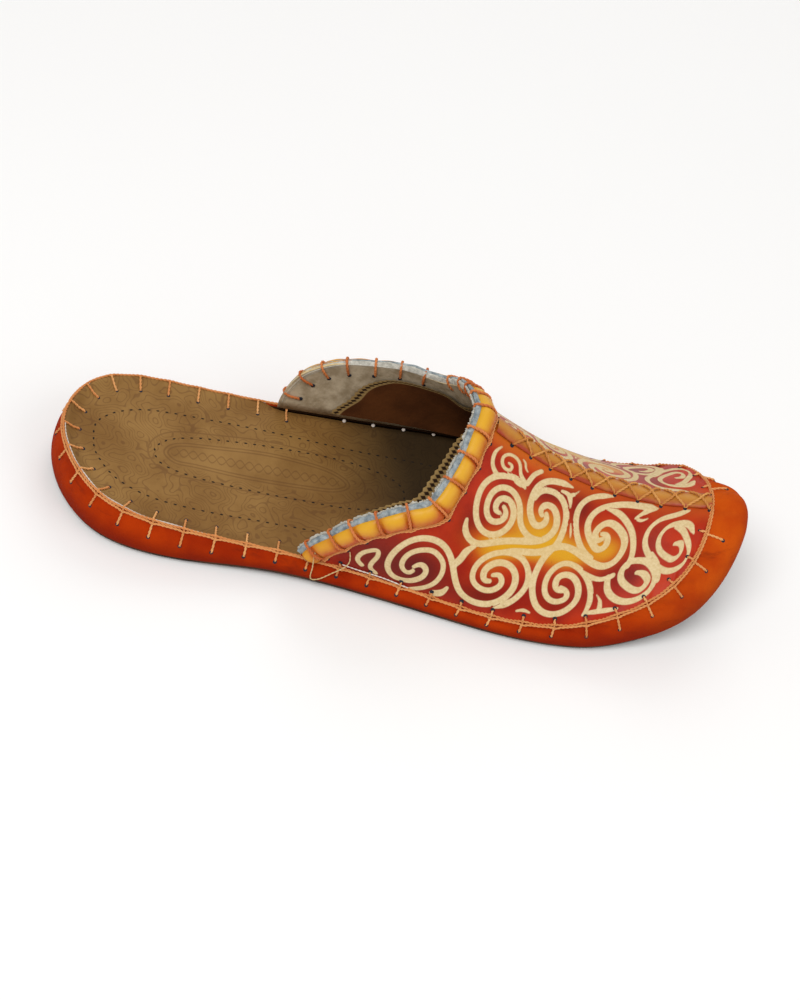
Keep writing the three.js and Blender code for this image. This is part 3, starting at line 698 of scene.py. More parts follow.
class Finish:
    def __init__(self, name, roughness, gloss=0.3, **sockets):
        self.material = bpy.data.materials.new(name)
        self.material.use_nodes = True
        self.tree = self.material.node_tree
        self.shader = self.tree.nodes["Principled BSDF"]
        self.shader.inputs["Roughness"].default_value = roughness
        self.shader.inputs["Specular IOR Level"].default_value = gloss
        for socket, value in sockets.items():
            self.shader.inputs[socket.replace("_", " ")].default_value = value
        self.height = None

    def node(self, kind, **settings):
        made = self.tree.nodes.new("ShaderNode" + kind)
        for key, value in settings.items():
            setattr(made, key, value)
        return made

    def link(self, source, target):
        if isinstance(source, tuple):
            target.default_value = tint(*source)
        elif isinstance(source, (int, float)):
            target.default_value = source
        else:
            self.tree.links.new(source, target)

    def where(self):
        return self.node("TexCoord").outputs["Object"]

    def mark(self, name):
        return self.node("Attribute", attribute_name=name).outputs["Fac"]

    def noise(self, scale, detail=3.0, rough=0.55, stretch=None):
        made = self.node("TexNoise")
        spot = self.where()
        if stretch:
            warp = self.node("Mapping")
            warp.inputs["Scale"].default_value = stretch
            self.link(spot, warp.inputs["Vector"])
            spot = warp.outputs["Vector"]
        self.link(spot, made.inputs["Vector"])
        made.inputs["Scale"].default_value = scale
        made.inputs["Detail"].default_value = detail
        made.inputs["Roughness"].default_value = rough
        return made.outputs["Fac"]

    def cells(self, scale):
        made = self.node("TexVoronoi", feature="DISTANCE_TO_EDGE")
        self.link(self.where(), made.inputs["Vector"])
        made.inputs["Scale"].default_value = scale
        return made.outputs["Distance"]

    def span(self, value, low, high, to_low=0.0, to_high=1.0):
        made = self.node("MapRange", interpolation_type="SMOOTHSTEP")
        self.link(value, made.inputs["Value"])
        ends = {"From Min": low, "From Max": high, "To Min": to_low, "To Max": to_high}
        for socket, number in ends.items():
            made.inputs[socket].default_value = number
        return made.outputs["Result"]

    def math(self, kind, one, two=0.0):
        made = self.node("Math", operation=kind)
        self.link(one, made.inputs[0])
        self.link(two, made.inputs[1])
        return made.outputs[0]

    def times(self, one, two):
        return self.math("MULTIPLY", one, two)

    def away(self, one, two):
        return self.math("ABSOLUTE", self.math("SUBTRACT", one, two))

    def blend(self, share, one, two):
        made = self.node("Mix", data_type="RGBA", blend_type="MIX")
        self.link(share, made.inputs["Factor"])
        self.link(one, made.inputs["A"])
        self.link(two, made.inputs["B"])
        return made.outputs["Result"]

    def mottle(self, noise, low, high, one, two):
        return self.blend(self.span(noise, low, high), one, two)

    # Blends a tone toward a second colour by share times strength: for stains, wear and dye, and for the
    # painted shade on the side band
    def stain_and_shade(self, tone, share, strength, two):
        return self.blend(self.times(share, strength), tone, two)

    def colour(self, source):
        self.link(source, self.shader.inputs["Base Color"])

    def rough(self, source):
        self.link(source, self.shader.inputs["Roughness"])

    def bump(self, height, distance, strength=1.0):
        made = self.node("Bump")
        made.inputs["Strength"].default_value = strength
        made.inputs["Distance"].default_value = distance
        self.link(height, made.inputs["Height"])
        if self.height is not None:
            self.link(self.height, made.inputs["Normal"])
        self.height = made.outputs["Normal"]
        self.link(self.height, self.shader.inputs["Normal"])


def suede():
    f = Finish("band_suede", 0.95, 0.05)
    blotch = f.span(f.noise(48, 4), 0.3, 0.72)
    heel = f.blend(blotch, (148, 36, 3), (180, 56, 6))
    toe = f.blend(blotch, (180, 62, 8), (208, 90, 16))
    tone = f.blend(f.mark("toe"), heel, toe)
    # Painted shade: the band is painted darker toward the hem, and over its inner face, by the level mark
    tone = f.stain_and_shade(tone, f.span(f.mark("level"), 0.3, 1.0), 0.6, (112, 22, 5))
    smear = f.span(f.noise(110, 5, 0.7, (0.35, 0.35, 1.4)), 0.56, 0.72)
    tone = f.stain_and_shade(tone, smear, 0.42, (92, 26, 12))
    # Painted shade: the inner face of the band, in shade under the insole, is painted dark brown by the
    # inside mark
    f.colour(f.blend(f.mark("inside"), tone, (54, 34, 20)))
    f.rough(f.span(blotch, 0, 1, 0.8, 0.95))
    f.bump(f.noise(160, 3), 0.0005, 0.35)
    f.bump(f.noise(2200, 2), 0.00015, 0.7)
    return f.material


def dyed_leather():
    """Red leather with soft dye and a slightly raised cream line."""
    f = Finish("upper_leather", 0.5, 0.14, Coat_Weight=0.03, Coat_Roughness=0.4)
    red = f.mottle(f.noise(60, 3), 0.3, 0.7, (156, 28, 5), (188, 50, 10))
    red = f.blend(f.mark("maroon"), red, (96, 16, 10))
    red = f.blend(f.mark("blush"), red, (204, 104, 28))
    warm = f.mottle(f.mark("glow"), 0.35, 1.0, (190, 84, 16), (216, 158, 26))
    ground = f.mottle(f.mark("glow"), 0.0, 0.6, red, warm)
    cream = f.mottle(f.noise(900, 4), 0.3, 0.75, (210, 184, 134), (226, 204, 158))
    cream = f.stain_and_shade(cream, f.mark("glow"), 0.3, (216, 172, 84))
    line = f.span(f.mark("scroll"), -0.24, 0.2, 1.0, 0.0)
    painted = f.blend(line, ground, cream)
    rubbed = f.span(f.noise(420, 5, 0.7), 0.6, 0.76)
    f.colour(f.stain_and_shade(painted, rubbed, 0.4, (112, 48, 26)))
    f.rough(f.span(line, 0, 1, 0.4, 0.6))
    f.bump(line, 0.00028, 0.5)
    f.bump(f.cells(900), 0.00012, 0.35)
    f.bump(f.noise(240, 3), 0.0004, 0.25)
    return f.material


def golden(name, pale, deep, scale):
    f = Finish(name, 0.48, 0.35, Coat_Weight=0.08, Coat_Roughness=0.35)
    # The deep mark blends pale into deep: on the binding this paints light and shade across the roll, on
    # the strip it darkens the edges
    share = f.times(f.mark("deep"), f.span(f.noise(scale, 4), 0.25, 0.75, 0.6, 1.4))
    grime = f.span(f.noise(90, 5, 0.7), 0.55, 0.78)
    f.colour(f.stain_and_shade(f.blend(share, pale, deep), grime, 0.35, (150, 112, 34)))
    f.rough(f.span(f.noise(180, 3), 0.3, 0.7, 0.4, 0.58))
    f.bump(f.cells(1100), 0.0001, 0.3)
    f.bump(f.noise(320, 3), 0.0005, 0.35)
    return f.material


def embossed():
    """Insole leather with a pressed meander, three ovals and a twisted border along the middle."""
    f = Finish("insole_leather", 0.66, 0.2)
    tone = f.mottle(f.noise(38, 5, 0.6), 0.3, 0.75, (124, 87, 40), (153, 115, 62))
    meander = f.math("SINE", f.times(f.noise(95, 1.2, 0.35), 96.0))
    groove = f.times(f.span(meander, 0.62, 0.98), f.span(f.mark("oval"), 0.5, 2.5))
    sway = f.times(f.math("SINE", f.times(f.mark("along"), 0.85)), 2.1)
    inside = f.span(f.mark("oval"), -3.2, -2.4, 1.0, 0.0)
    for one in (sway, f.times(sway, -1.0)):
        strand = f.span(f.away(f.mark("off"), one), 0.15, 0.6, 1.0, 0.0)
        groove = f.math("MAXIMUM", groove, f.times(strand, inside))
    for middle in (0.0, -1.5, 6.2):
        ring = f.span(f.away(f.mark("oval"), middle), 0.12, 0.55, 1.0, 0.0)
        groove = f.math("MAXIMUM", groove, ring)
    tone = f.stain_and_shade(tone, groove, 0.42, (92, 56, 28))
    # Painted shadow: the insole is painted dark brown toward the toe, where the upper covers it, by the
    # depth mark
    f.colour(f.blend(f.mark("depth"), tone, (38, 29, 17)))
    f.bump(groove, 0.0004, -0.6)
    f.bump(f.noise(70, 4), 0.0008, 0.35)
    f.bump(f.cells(800), 0.00012, 0.35)
    return f.material


def sole_leather():
    f = Finish("sole_leather", 0.75, 0.2)
    tone = f.mottle(f.noise(40, 4), 0.3, 0.75, (56, 38, 27), (92, 64, 45))
    scuffs = f.span(f.noise(160, 5, 0.7, (0.3, 1.0, 1.0)), 0.58, 0.75)
    f.colour(f.stain_and_shade(tone, scuffs, 0.4, (136, 106, 80)))
    f.bump(f.noise(300, 4), 0.0005, 0.5)
    f.bump(f.cells(420), 0.0002, 0.3)
    return f.material


def fibres(name, one, two, scale, depth=0.0004):
    f = Finish(name, 0.92, 0.1)
    f.colour(f.mottle(f.noise(scale, 5, 0.65), 0.32, 0.7, one, two))
    f.bump(f.noise(scale * 4, 3), depth, 0.5)
    return f.material


def pinked():
    """Brown lining with a light zigzag of cut triangles along its edge."""
    f = Finish("lining", 0.85, 0.15)
    tone = f.mottle(f.noise(45, 4), 0.3, 0.7, (70, 36, 14), (100, 56, 24))
    saw = f.math("PINGPONG", f.mark("along"), 0.95)
    cuts = f.math("SUBTRACT", f.away(f.mark("off"), 1.6), saw)
    trim = f.mottle(cuts, -0.35, 0.25, (46, 29, 16), (166, 136, 86))
    f.colour(f.blend(f.span(f.mark("off"), 2.8, 3.2, 1.0, 0.0), tone, trim))
    f.bump(f.noise(500, 3), 0.0004, 0.5)
    return f.material


def thread_finish(name, one, two):
    f = Finish(name, 0.6, 0.25)
    share = f.math("ADD", f.times(f.mark("strand"), 0.6), f.times(f.noise(300, 2), 0.5))
    f.colour(f.blend(share, one, two))
    f.bump(f.noise(2500, 2), 0.0001, 0.4)
    return f.material


def plain_dark(name, one, two):
    f = Finish(name, 0.9)
    f.colour(f.blend(f.noise(500, 2), one, two))
    return f.material


SUEDE = suede()
DYED = dyed_leather()
BINDING = golden("binding_leather", (222, 164, 28), (186, 80, 18), 120)
STRIP = golden("strip_leather", (196, 134, 42), (160, 54, 18), 160)
INSOLE = embossed()
SOLE = sole_leather()
FLESH = fibres("flesh_side", (160, 142, 114), (204, 188, 160), 160)
DOT = plain_dark("stitch_dot", (22, 17, 12), (48, 36, 24))
LINING = pinked()
RAW = fibres("raw_edge", (112, 122, 128), (176, 184, 184), 420)
FRAY = fibres("frayed_edge", (176, 172, 160), (218, 214, 202), 700, 0.0008)
PEACH = thread_finish("peach_thread", (202, 118, 58), (232, 176, 112))
RUST = thread_finish("rust_thread", (178, 84, 34), (220, 138, 78))
WHITE = thread_finish("white_thread", (206, 190, 176), (240, 234, 226))
LACE = thread_finish("lace_thread", (184, 108, 44), (222, 164, 90))
LOOSE = thread_finish("loose_thread", (196, 166, 110), (226, 204, 158))
# Painted shade: the stitch and lacing holes are dark domes standing in for the shade inside them
HOLE_SHADE = plain_dark("hole_shade", (14, 14, 20), (48, 52, 66))


# Side band: outer face, wall and inner face, pinched at each stitch and gathered at the toe
RING = np.linspace(0, 2, 2001)
STITCHES = evenly(band_face(RING, 0), RING, STITCH_STEP)


def by_stitch(turn, reach):
    return hump(gap_to(turn, STITCHES, 2), reach)


def band_inset(turn, level):
    run = run_of(turn)
    pull = by_stitch(turn, 0.008)[:, None] * PINCH * hump(level - PINCH_LEVEL, 0.2)
    fold = np.sin(turn * 2 * np.pi * 26) * 0.5 + np.sin(turn * 2 * np.pi * 41 + 1.3) * 0.3
    gather = GATHER * (fold * ramp_up(run, 0.9, 0.985))[:, None] * hump(level - PINCH_LEVEL, 0.3)
    sway = SWAY * np.sin(turn * 31)[:, None] * np.sin(level * 5 + 1)
    puff = TOE_PUFF * ramp_up(run, 0.9, 0.99)[:, None] * hump(level - 0.32, 0.26)
    return pull - gather + sway - puff * ramp_up(level, 0, PINCH_LEVEL)


def build_band():
    turn = around(FINE_RING)
    level = np.linspace(0, 1, 25)[None, :]
    outer = band_point(turn[:, None], level, band_inset(turn, level))
    edge = np.linspace(0, 1, 4)[None, 1:]
    top = band_point(turn[:, None], 0 * edge, edge * BAND_WALL)
    top = top + 0.2 * UP * np.sin(edge * np.pi)[..., None]
    inner_levels = np.linspace(0, 1, 7)[None, 1:]
    inner = band_point(turn[:, None], inner_levels, BAND_WALL)
    loops = np.concatenate([outer[:, ::-1], top, inner], 1)
    rows, cols = loops.shape[:2]
    behind = edge.size + inner_levels.size
    shades = np.concatenate([level[0, ::-1], np.zeros(edge.size), np.ones(inner_levels.size)])
    # Marks for the suede: level and inside paint shade toward the hem and on the inner face; toe turns the
    # front brighter orange
    marks = {
        "level": np.tile(shades, (rows, 1)),
        "toe": np.repeat(ramp_up(run_of(turn), 0.72, 0.95)[:, None], cols, 1),
        "inside": np.tile(np.arange(cols) >= cols - behind + 1, (rows, 1)),
    }
    faces = grid_faces(rows + 1, cols) % (rows * cols)
    piece("side_band_suede", loops, faces, SUEDE, "side_band", marks)


def filled(ring, across):
    """A sheet of rows from side to side that fills a ring, which starts at the heel."""
    half = len(ring) // 2
    right, left = ring[: half + 1], np.vstack([ring[:1], ring[half:][::-1]])
    return right[:, None] * (1 - across)[None, :, None] + left[:, None] * across[None, :, None]


# Outsole: rounded lip under the band, roll at the toe, flat heel and tread
def build_outsole():
    turn = around(COARSE_RING)
    inset = BAND_WALL + SOLE_GAP

    def lip(inward, drop):
        points = band_point(turn, 1.0, SOLE_LIP + inward)
        points[:, 2] = hem_height(run_of(turn)) - SOLE_EDGE + drop
        return points

    bends = np.linspace(0, np.pi / 2, 5)
    rings = [lip(LIP_ROUND * (1 - np.sin(b)), LIP_ROUND * (1 - np.cos(b))) for b in bends]
    rings += [lip(0, SOLE_EDGE - FIT_GAP), lip(inset - SOLE_LIP, SOLE_EDGE - FIT_GAP)]
    top = band_over_bed(turn, 0, inset)
    rings += [band_point(turn, 1 + (top - 1) * share, inset) for share in (0.5, 1.0)]
    side = np.stack(rings)
    rows, cols = side.shape[:2]
    under = side[0][: cols // 2 + 1]
    sheet = filled(side[0], np.linspace(0, 1, 40))
    sheet[..., 2] = np.interp(sheet[..., 0], under[:, 0], under[:, 2])
    points = np.vstack([side.reshape(-1, 3), sheet.reshape(-1, 3)])
    tread = grid_faces(*sheet.shape[:2], False, False, rows * cols)
    faces = np.vstack([grid_faces(rows, cols, True), tread])
    piece("outsole_leather", points, faces, SOLE, "outsole")


# Insole: its rim is sewn over the band behind the collar, and tucked inside it under the upper
def insole_rim(turn):
    inset = BAND_WALL + FIT_GAP
    rim = band_point(turn, band_over_bed(turn, INSOLE_TOP, inset), inset)
    past = np.maximum(rim[:, 0] - INSOLE_TURN * LENGTH, 0)
    beyond = past > 0
    rim[:, 0] -= past * (1 - INSOLE_REACH)
    rim[beyond, 2] = (insole_top(rim[:, 0]) + past * INSOLE_EASE)[beyond]
    return rim


def corner_run(turn):
    return np.where(side_of(turn) < 0, collar_medial(1.0), collar_lateral(1.0))


def dressed_rim(turn):
    tucked = insole_rim(turn)
    sewn = band_point(turn, 0.0, RIM_INSET) + RIM_LIFT * UP
    share = ramp_up(corner_run(turn) - run_of(turn), -0.01, 0.02)[:, None]
    return tucked + (sewn - tucked) * share, share[:, 0]


def closed_curve(points, count=600):
    points = np.array(points, float)
    at = np.linspace(0, len(points), count + 1)[:-1]
    i = at.astype(int)
    s = (at - i)[:, None]
    a, b, c, d = (points[(i + k) % len(points)] for k in (-1, 0, 1, 2))
    bend = a - 2.5 * b + 2 * c - 0.5 * d
    return b + s * ((c - a) / 2 + s * (bend + s * (1.5 * (b - c) + (d - a) / 2)))


def nearest(curve, spots):
    """Gap from each spot to the nearest point of a curve, and that point's number."""
    tree = KDTree(len(curve))
    for i, (x, y) in enumerate(curve):
        tree.insert((x, y, 0), i)
    tree.balance()
    found = np.array([tree.find((x, y, 0))[1:] for x, y in spots])
    return found[:, 1], found[:, 0].astype(int)


def outside(curve, spots):
    """1 for each spot outside a closed curve and -1 for each inside."""
    x, y = spots[:, :1], spots[:, 1:]
    ax, ay = curve.T
    bx, by = np.roll(curve, -1, 0).T
    crosses = (ay > y) != (by > y)
    ahead = x < ax + (bx - ax) * (y - ay) / np.where(by == ay, 1e-9, by - ay)
    return np.where((crosses & ahead).sum(1) % 2, -1, 1)


def insole_wave(x, y):
    return INSOLE_WAVE * np.sin(x * 0.09) * np.sin(y * 0.11)


def build_insole():
    rim, sewn = dressed_rim(around(FINE_RING))
    sheet = filled(rim, (1 - np.cos(np.linspace(0, np.pi, 121))) / 2)
    spots = sheet[..., :2].reshape(-1, 2)
    x, y = spots.T
    gap, i = nearest(rim[:, :2], spots)
    rise = (rim[:, 2] - insole_top(rim[:, 0])) * sewn
    z = insole_top(x) + np.maximum(x - INSOLE_TURN * LENGTH, 0) * INSOLE_EASE
    z = z + rise[i] * hump(gap, RIM_REACH) - TUCK * (1 - sewn[i]) * hump(gap, 1.6)
    sheet[..., 2] = (z + insole_wave(x, y) * ramp_up(gap, 3, 12)).reshape(sheet.shape[:2])
    oval = closed_curve(PRESSED_OVAL)
    start, end = np.array(OVAL_AXIS)
    way = unit(end - start)
    marks = {
        "oval": nearest(oval, spots)[0] * outside(oval, spots),
        "along": (spots - start) @ way,
        "off": (spots - start) @ np.array([-way[1], way[0]]),
        # depth paints the shadow under the upper toward the toe
        "depth": ramp_up(x + 0.3 * y, 104, 150) * 0.9,
    }
    sheet_piece("insole_leather", sheet, INSOLE, "insole", marks)


def insole_dots():
    centres, ways = [], []
    for curve in (OUTER_STITCHES, INNER_STITCHES):
        path = closed_curve(curve)
        path = even_path(np.column_stack([path, insole_top(path[:, 0])]), DOT_STEP, True)
        path[:, 2] += insole_wave(path[:, 0], path[:, 1])
        centres.append(path[:-1])
        ways.append(unit(np.diff(path, axis=0)))
    centres, ways = np.vstack(centres), np.vstack(ways)
    return centres, np.cross(ways, np.cross(UP, ways)), ways


# Upper: two dyed panels that meet at the crest, their inside, and a lining set back from the edge
def chart_of(side):
    """Tells how far along the panel and up from the ridge a point lies, and how high the crest is."""
    runs = np.linspace(0.38, 1.0, 320)
    shares = np.linspace(0, 1, 161)
    along = along_path(upper_face(runs, CHART_LINE * side))
    sections = upper_face(runs[:, None], side * (1 - shares)[None, :])
    steps = np.linalg.norm(np.diff(sections, axis=1), axis=2)
    up = np.concatenate([np.zeros((len(runs), 1)), np.cumsum(steps, axis=1)], 1)

    def chart(run, across):
        i = np.clip((run - runs[0]) / (runs[-1] - runs[0]) * (len(runs) - 1), 0, len(runs) - 1.001)
        j = np.clip((1 - np.abs(across)) * (len(shares) - 1), 0, len(shares) - 1.001)
        a, b = i.astype(int), j.astype(int)
        s, t = i - a, j - b
        low = up[a, b] * (1 - t) + up[a, b + 1] * t
        high = up[a + 1, b] * (1 - t) + up[a + 1, b + 1] * t
        return np.interp(run, runs, along), low * (1 - s) + high * s, np.interp(run, runs, up[:, -1])

    return chart


CHART = {-1: chart_of(-1), 1: chart_of(1)}


def scroll_spots():
    """Points along the middle of each line of the ornament, and half its width there."""
    spots, halves = [], []
    for start, body, end, points in SCROLLS:
        points = np.array(points, float)
        at = along_path(points)
        rows = {"at": at, "u": points[:, 0], "w": points[:, 1]}
        want = np.arange(0, at[-1], SCROLL_STEP)
        from_ends = np.clip(np.minimum(want, at[-1] - want) / SCROLL_TAPER, 0, 1)
        tips = np.where(want < at[-1] / 2, start, end)
        spots.append(np.stack([smooth(rows, "at", key)(want) for key in "uw"], -1))
        halves.append((tips + (body - tips) * from_ends) / 2 * INK)
    return np.vstack(spots), np.concatenate(halves)


SCROLL_SPOTS, SCROLL_HALVES = scroll_spots()


def soft_spots(rows, u, w):
    keep = np.ones_like(u)
    for along, up, wide, tall, share in zip(*rows.values()):
        keep = keep * (1 - share * np.exp(-(((u - along) / wide) ** 2) - ((w - up) / tall) ** 2))
    return 1 - keep


def panel_marks(u, w, top):
    gap, i = nearest(SCROLL_SPOTS, np.column_stack([u.ravel(), w.ravel()]))
    return {
        "scroll": np.minimum((gap - SCROLL_HALVES[i]).reshape(u.shape), FAR_OUT),
        "glow": soft_spots(GLOW, u, w),
        "maroon": soft_spots(MAROON, u, w),
        "blush": ramp_up(w - top, -12, -4) * (0.85 - 0.5 * ramp_up(u, 95, 150)),
    }


def panel_grid(side, rows, cols, front=0.9999):
    share = np.linspace(0, 1, rows)[:, None]
    across = side * np.maximum(np.linspace(0, 1, cols), 1e-5)[None, :]
    start = collar_run(across)
    run = start + (front - start) * share
    return run, np.broadcast_to(across, run.shape)


def panel_wave(run, across, u, w, top):
    turn = np.where(across < 0, run, 2 - run)
    pinch = by_stitch(turn.ravel(), 0.006).reshape(turn.shape) * hump(w - 2, 3.0)
    trough = TROUGH * hump(u - 92, 9) * hump(w - 62, 14)
    wave = PANEL_WAVE * np.sin(u * 0.11 + w * 0.05) * ramp_up(w, 4, 14) * ramp_up(top - w, 4, 14)
    return wave - PANEL_PINCH * pinch - trough


def build_panel(side, name):
    run, across = panel_grid(side, PANEL_ROWS, PANEL_COLS)
    u, w, top = CHART[side](run, across)
    outer = over_upper(run, across, panel_wave(run, across, u, w, top))
    inner = upper_face(run[:1], across[:1], WALL)
    marks = panel_marks(u, w, top)
    marks = {key: np.concatenate([value[:1], value]) for key, value in marks.items()}
    marks["scroll"][0] = CUT_EDGE
    points = np.concatenate([inner, outer])
    sheet_piece(name, points, DYED, "upper", marks, side > 0)


def build_inside(side, name):
    run, across = panel_grid(side, INSIDE_ROWS, INSIDE_COLS, INSIDE_END)
    inner = upper_face(run, across, WALL)
    front = ramp_up(run[:, -1], 0.6, 0.8)
    foot = upper_face(run[:, -1], across[:, -1], 0.9 + 1.1 * front)
    foot[:, 2] += 0.05 - 0.35 * front
    points = np.concatenate([inner, foot[:, None]], 1)
    sheet_piece(name, points, FLESH, flip=side < 0)


set_back, set_depth = (steady(SET_BACK, "across", key) for key in ("gap", "depth"))


def build_lining():
    across = np.linspace(-COLLAR_SPAN, COLLAR_SPAN, 901)
    start = collar_run(across) + set_back(across)
    at = along_path(upper_face(start, across, set_depth(across)))
    tooth = np.abs(at / TOOTH_STEP % 1 - 0.5)
    reach = np.concatenate([[0.0, 0.5, 1.0, 1.6, 2.4, 3.2, 4.2], np.linspace(6, 115, 26)])
    points = []
    for distance in reach:
        run = np.minimum(start + (distance + (tooth if distance == 0 else 0)) / LENGTH, LINING_END)
        share = ramp_up(distance, 0, LINING_EASE)
        points.append(upper_face(run, across, set_depth(across) * (1 - share) + LINING_DEPTH * share))
    off, along = np.meshgrid(reach, at, indexing="ij")
    marks = {"along": along, "off": off}
    sheet_piece("upper_lining", np.array(points), LINING, None, marks, True)


# Strip over the centre seam, with lacing and holes
def strip_point(run, out, lift):
    """A point at a distance out from the crest line, over the face of the upper."""
    run, out = np.broadcast_arrays(np.asarray(run, float), np.asarray(out, float))
    centre = upper_face(run, 1e-6)[..., 1]
    across = np.zeros_like(run)
    for _ in range(ROUNDS):
        there = upper_face(run, across)[..., 1] - centre
        lean = np.maximum((upper_face(run, across + TINY)[..., 1] - centre - there) / TINY, 1)
        across = np.clip(across + (out - there) / lean, -0.5, 0.5)
    return over_upper(run, across, lift)


def build_strip():
    run = np.linspace(collar_run(0.0) + STRIP_START, STRIP_END, 260)[:, None]
    half = STRIP_WIDTH / 2 * (STRIP_TIP + (1 - STRIP_TIP) * np.minimum(1, (1 - run) * STRIP_CLOSE))
    shares = np.concatenate([-STRIP_SECTION["out"][::-1], STRIP_SECTION["out"][1:]])
    lift = np.concatenate([STRIP_SECTION["lift"][::-1], STRIP_SECTION["lift"][1:]])
    points = strip_point(run, half * shares, FIT_GAP * 0.5 + STRIP_RISE * lift + 0 * run)
    deep = np.broadcast_to(0.1 + np.abs(shares) ** 1.6, points.shape[:2])
    sheet_piece("seam_strip_leather", points, STRIP, "seam_strip", {"deep": deep})


def lace_runs():
    run = np.linspace(collar_run(0.0) + STRIP_START + 0.02, LACE_END, 600)
    return evenly(strip_point(run, 0.0, 1.0), run, LACE_STEP, True)


LACES = lace_runs()


def lace_paths():
    share = np.linspace(0, 1, 9)
    lift = 1.55 + 0.35 * np.sin(share * np.pi) - 1.5 * (np.abs(2 * share - 1) ** 6)
    out = (STRIP_WIDTH / 2 + 0.1) * (1 - 2 * share)
    paths = []
    for back, front in zip(LACES[:-1], LACES[1:]):
        run = back + (front - back) * share
        paths += [strip_point(run, side * out, lift) for side in (-1, 1)]
    return paths


# Binding: a padded roll on the outside of the collar edge, drawn in at each whip stitch
def face_step(along, over, aim):
    """How far to go along and over a face to move by aim."""
    aa, ao, oo = (along * along).sum(-1), (along * over).sum(-1), (over * over).sum(-1)
    pa, po = (aim * along).sum(-1), (aim * over).sum(-1)
    det = aa * oo - ao * ao
    return (pa * oo - po * ao) / det, (po * aa - pa * ao) / det


def collar_frame(share):
    across = share * COLLAR_SPAN
    run = collar_run(across)
    low = np.maximum(share - ROLL_PROBE, -1) * COLLAR_SPAN
    high = np.minimum(share + ROLL_PROBE, 1) * COLLAR_SPAN
    along = upper_face(collar_run(high), high) - upper_face(collar_run(low), low)
    normal = upper_normal(run, across)
    return run, across, normal, unit(np.cross(along, normal))


def collar_point(share, reach, lift):
    """A point in from the collar edge by reach and off the face by lift."""
    share, reach, lift = np.broadcast_arrays(*[np.asarray(v, float) for v in (share, reach, lift)])
    run, across, _, into = collar_frame(share)
    here = upper_face(run, across)
    ahead = (upper_face(run + TINY, across) - here) / TINY
    over = (upper_face(run, across + TINY) - here) / TINY
    forth, aside = face_step(ahead, over, into * np.maximum(reach, 0)[..., None])
    point = over_upper(run + forth, np.clip(across + aside, -1, 1), lift)
    return point + into * np.minimum(reach, 0)[..., None]


EDGE = np.linspace(-1, 1, 1201)
ROLLS = evenly(collar_point(EDGE, 0, 0), EDGE, ROLL_STEP)


def build_binding():
    share = np.linspace(-1, 1, 760)
    gap = gap_to(share, ROLLS)[:, None]
    pinch = hump(gap, 0.010)
    swell = np.cos(np.clip(gap / 0.045, 0, 1) * np.pi / 2)
    turn = np.linspace(-0.12, 1.0, 21)[None, :] * np.pi
    reach = BINDING_WIDTH * (0.5 - 0.5 * np.cos(turn)) * (1 - 0.05 * pinch)
    reach = reach + np.where(turn < 0, turn * 1.2, 0)
    puff = 1.1 - 0.4 * pinch - 0.12 * swell
    lift = 0.3 + BINDING_RISE * np.maximum(np.sin(turn), -0.4) * puff
    points = collar_point(share[:, None], reach, lift)
    # Painted light and shade across the roll: its top stays pale as a painted highlight, and it is painted
    # darker over its lower half and in the crease at each whip stitch; it also darkens toward its end on
    # the inner side
    low = ramp_up(turn / np.pi, 0.3, 0.82)
    corner = ramp_up(-share[:, None], 0.75, 1.0)
    deep = np.clip(0.85 * low + 0.6 * hump(gap, 0.017) + 0.25 * corner, 0, 1)
    name, slot = "collar_binding_leather", "binding_leather"
    sheet_piece(name, points, BINDING, "collar_binding", {"deep": deep}, True)


def build_raw_edge(name, material, rows, seed, fray):
    share = np.linspace(-1, 1, 900)
    rng = np.random.default_rng(seed)
    ragged = np.convolve(rng.normal(0, 1, len(share) + 8), np.ones(3) / 3, "same")[4:-4] * fray
    drawn = 1 - 0.45 * hump(gap_to(share, ROLLS), 0.012)
    full = 1 - 0.92 * ramp_up(share, *RAW_FADE)
    grid = []
    for reach, lift in rows:
        if reach < 0:
            grid.append(collar_point(share, (reach + ragged) * drawn * full, lift * (0.4 + 0.6 * full)))
        else:
            grid.append(collar_point(share, reach, lift))
    sheet_piece(name, np.stack(grid, 1), material, flip=True)


# Threads
def ridge_ways(turn):
    return unit(band_face(turn + WAY_PROBE, 0) - band_face(turn - WAY_PROBE, 0))


def edge_threads():
    turn = np.linspace(0, 2, 1400)
    one = band_point(turn, 0.0, 0.1) + 0.5 * UP
    one[:, 2] += 0.2 * np.cos(np.interp(turn, STITCHES, np.arange(len(STITCHES))) * 2 * np.pi)
    two = band_point(turn, 0.02, -0.4) - 0.1 * UP
    two[:, 2] -= 0.7 * by_stitch(turn, 0.004)
    return one, two


def white_threads():
    heel = np.linspace(0.03, 0.34, 260)
    one = band_point(heel, 0.0, 0.9) + 0.75 * UP
    one[:, 2] += 0.25 * np.sin(heel * 90)
    front = np.linspace(0.478, 0.545, 100)
    return one, over_upper(front, -COLLAR_SPAN, 0.3 + 0.12 * np.sin(front * 130))


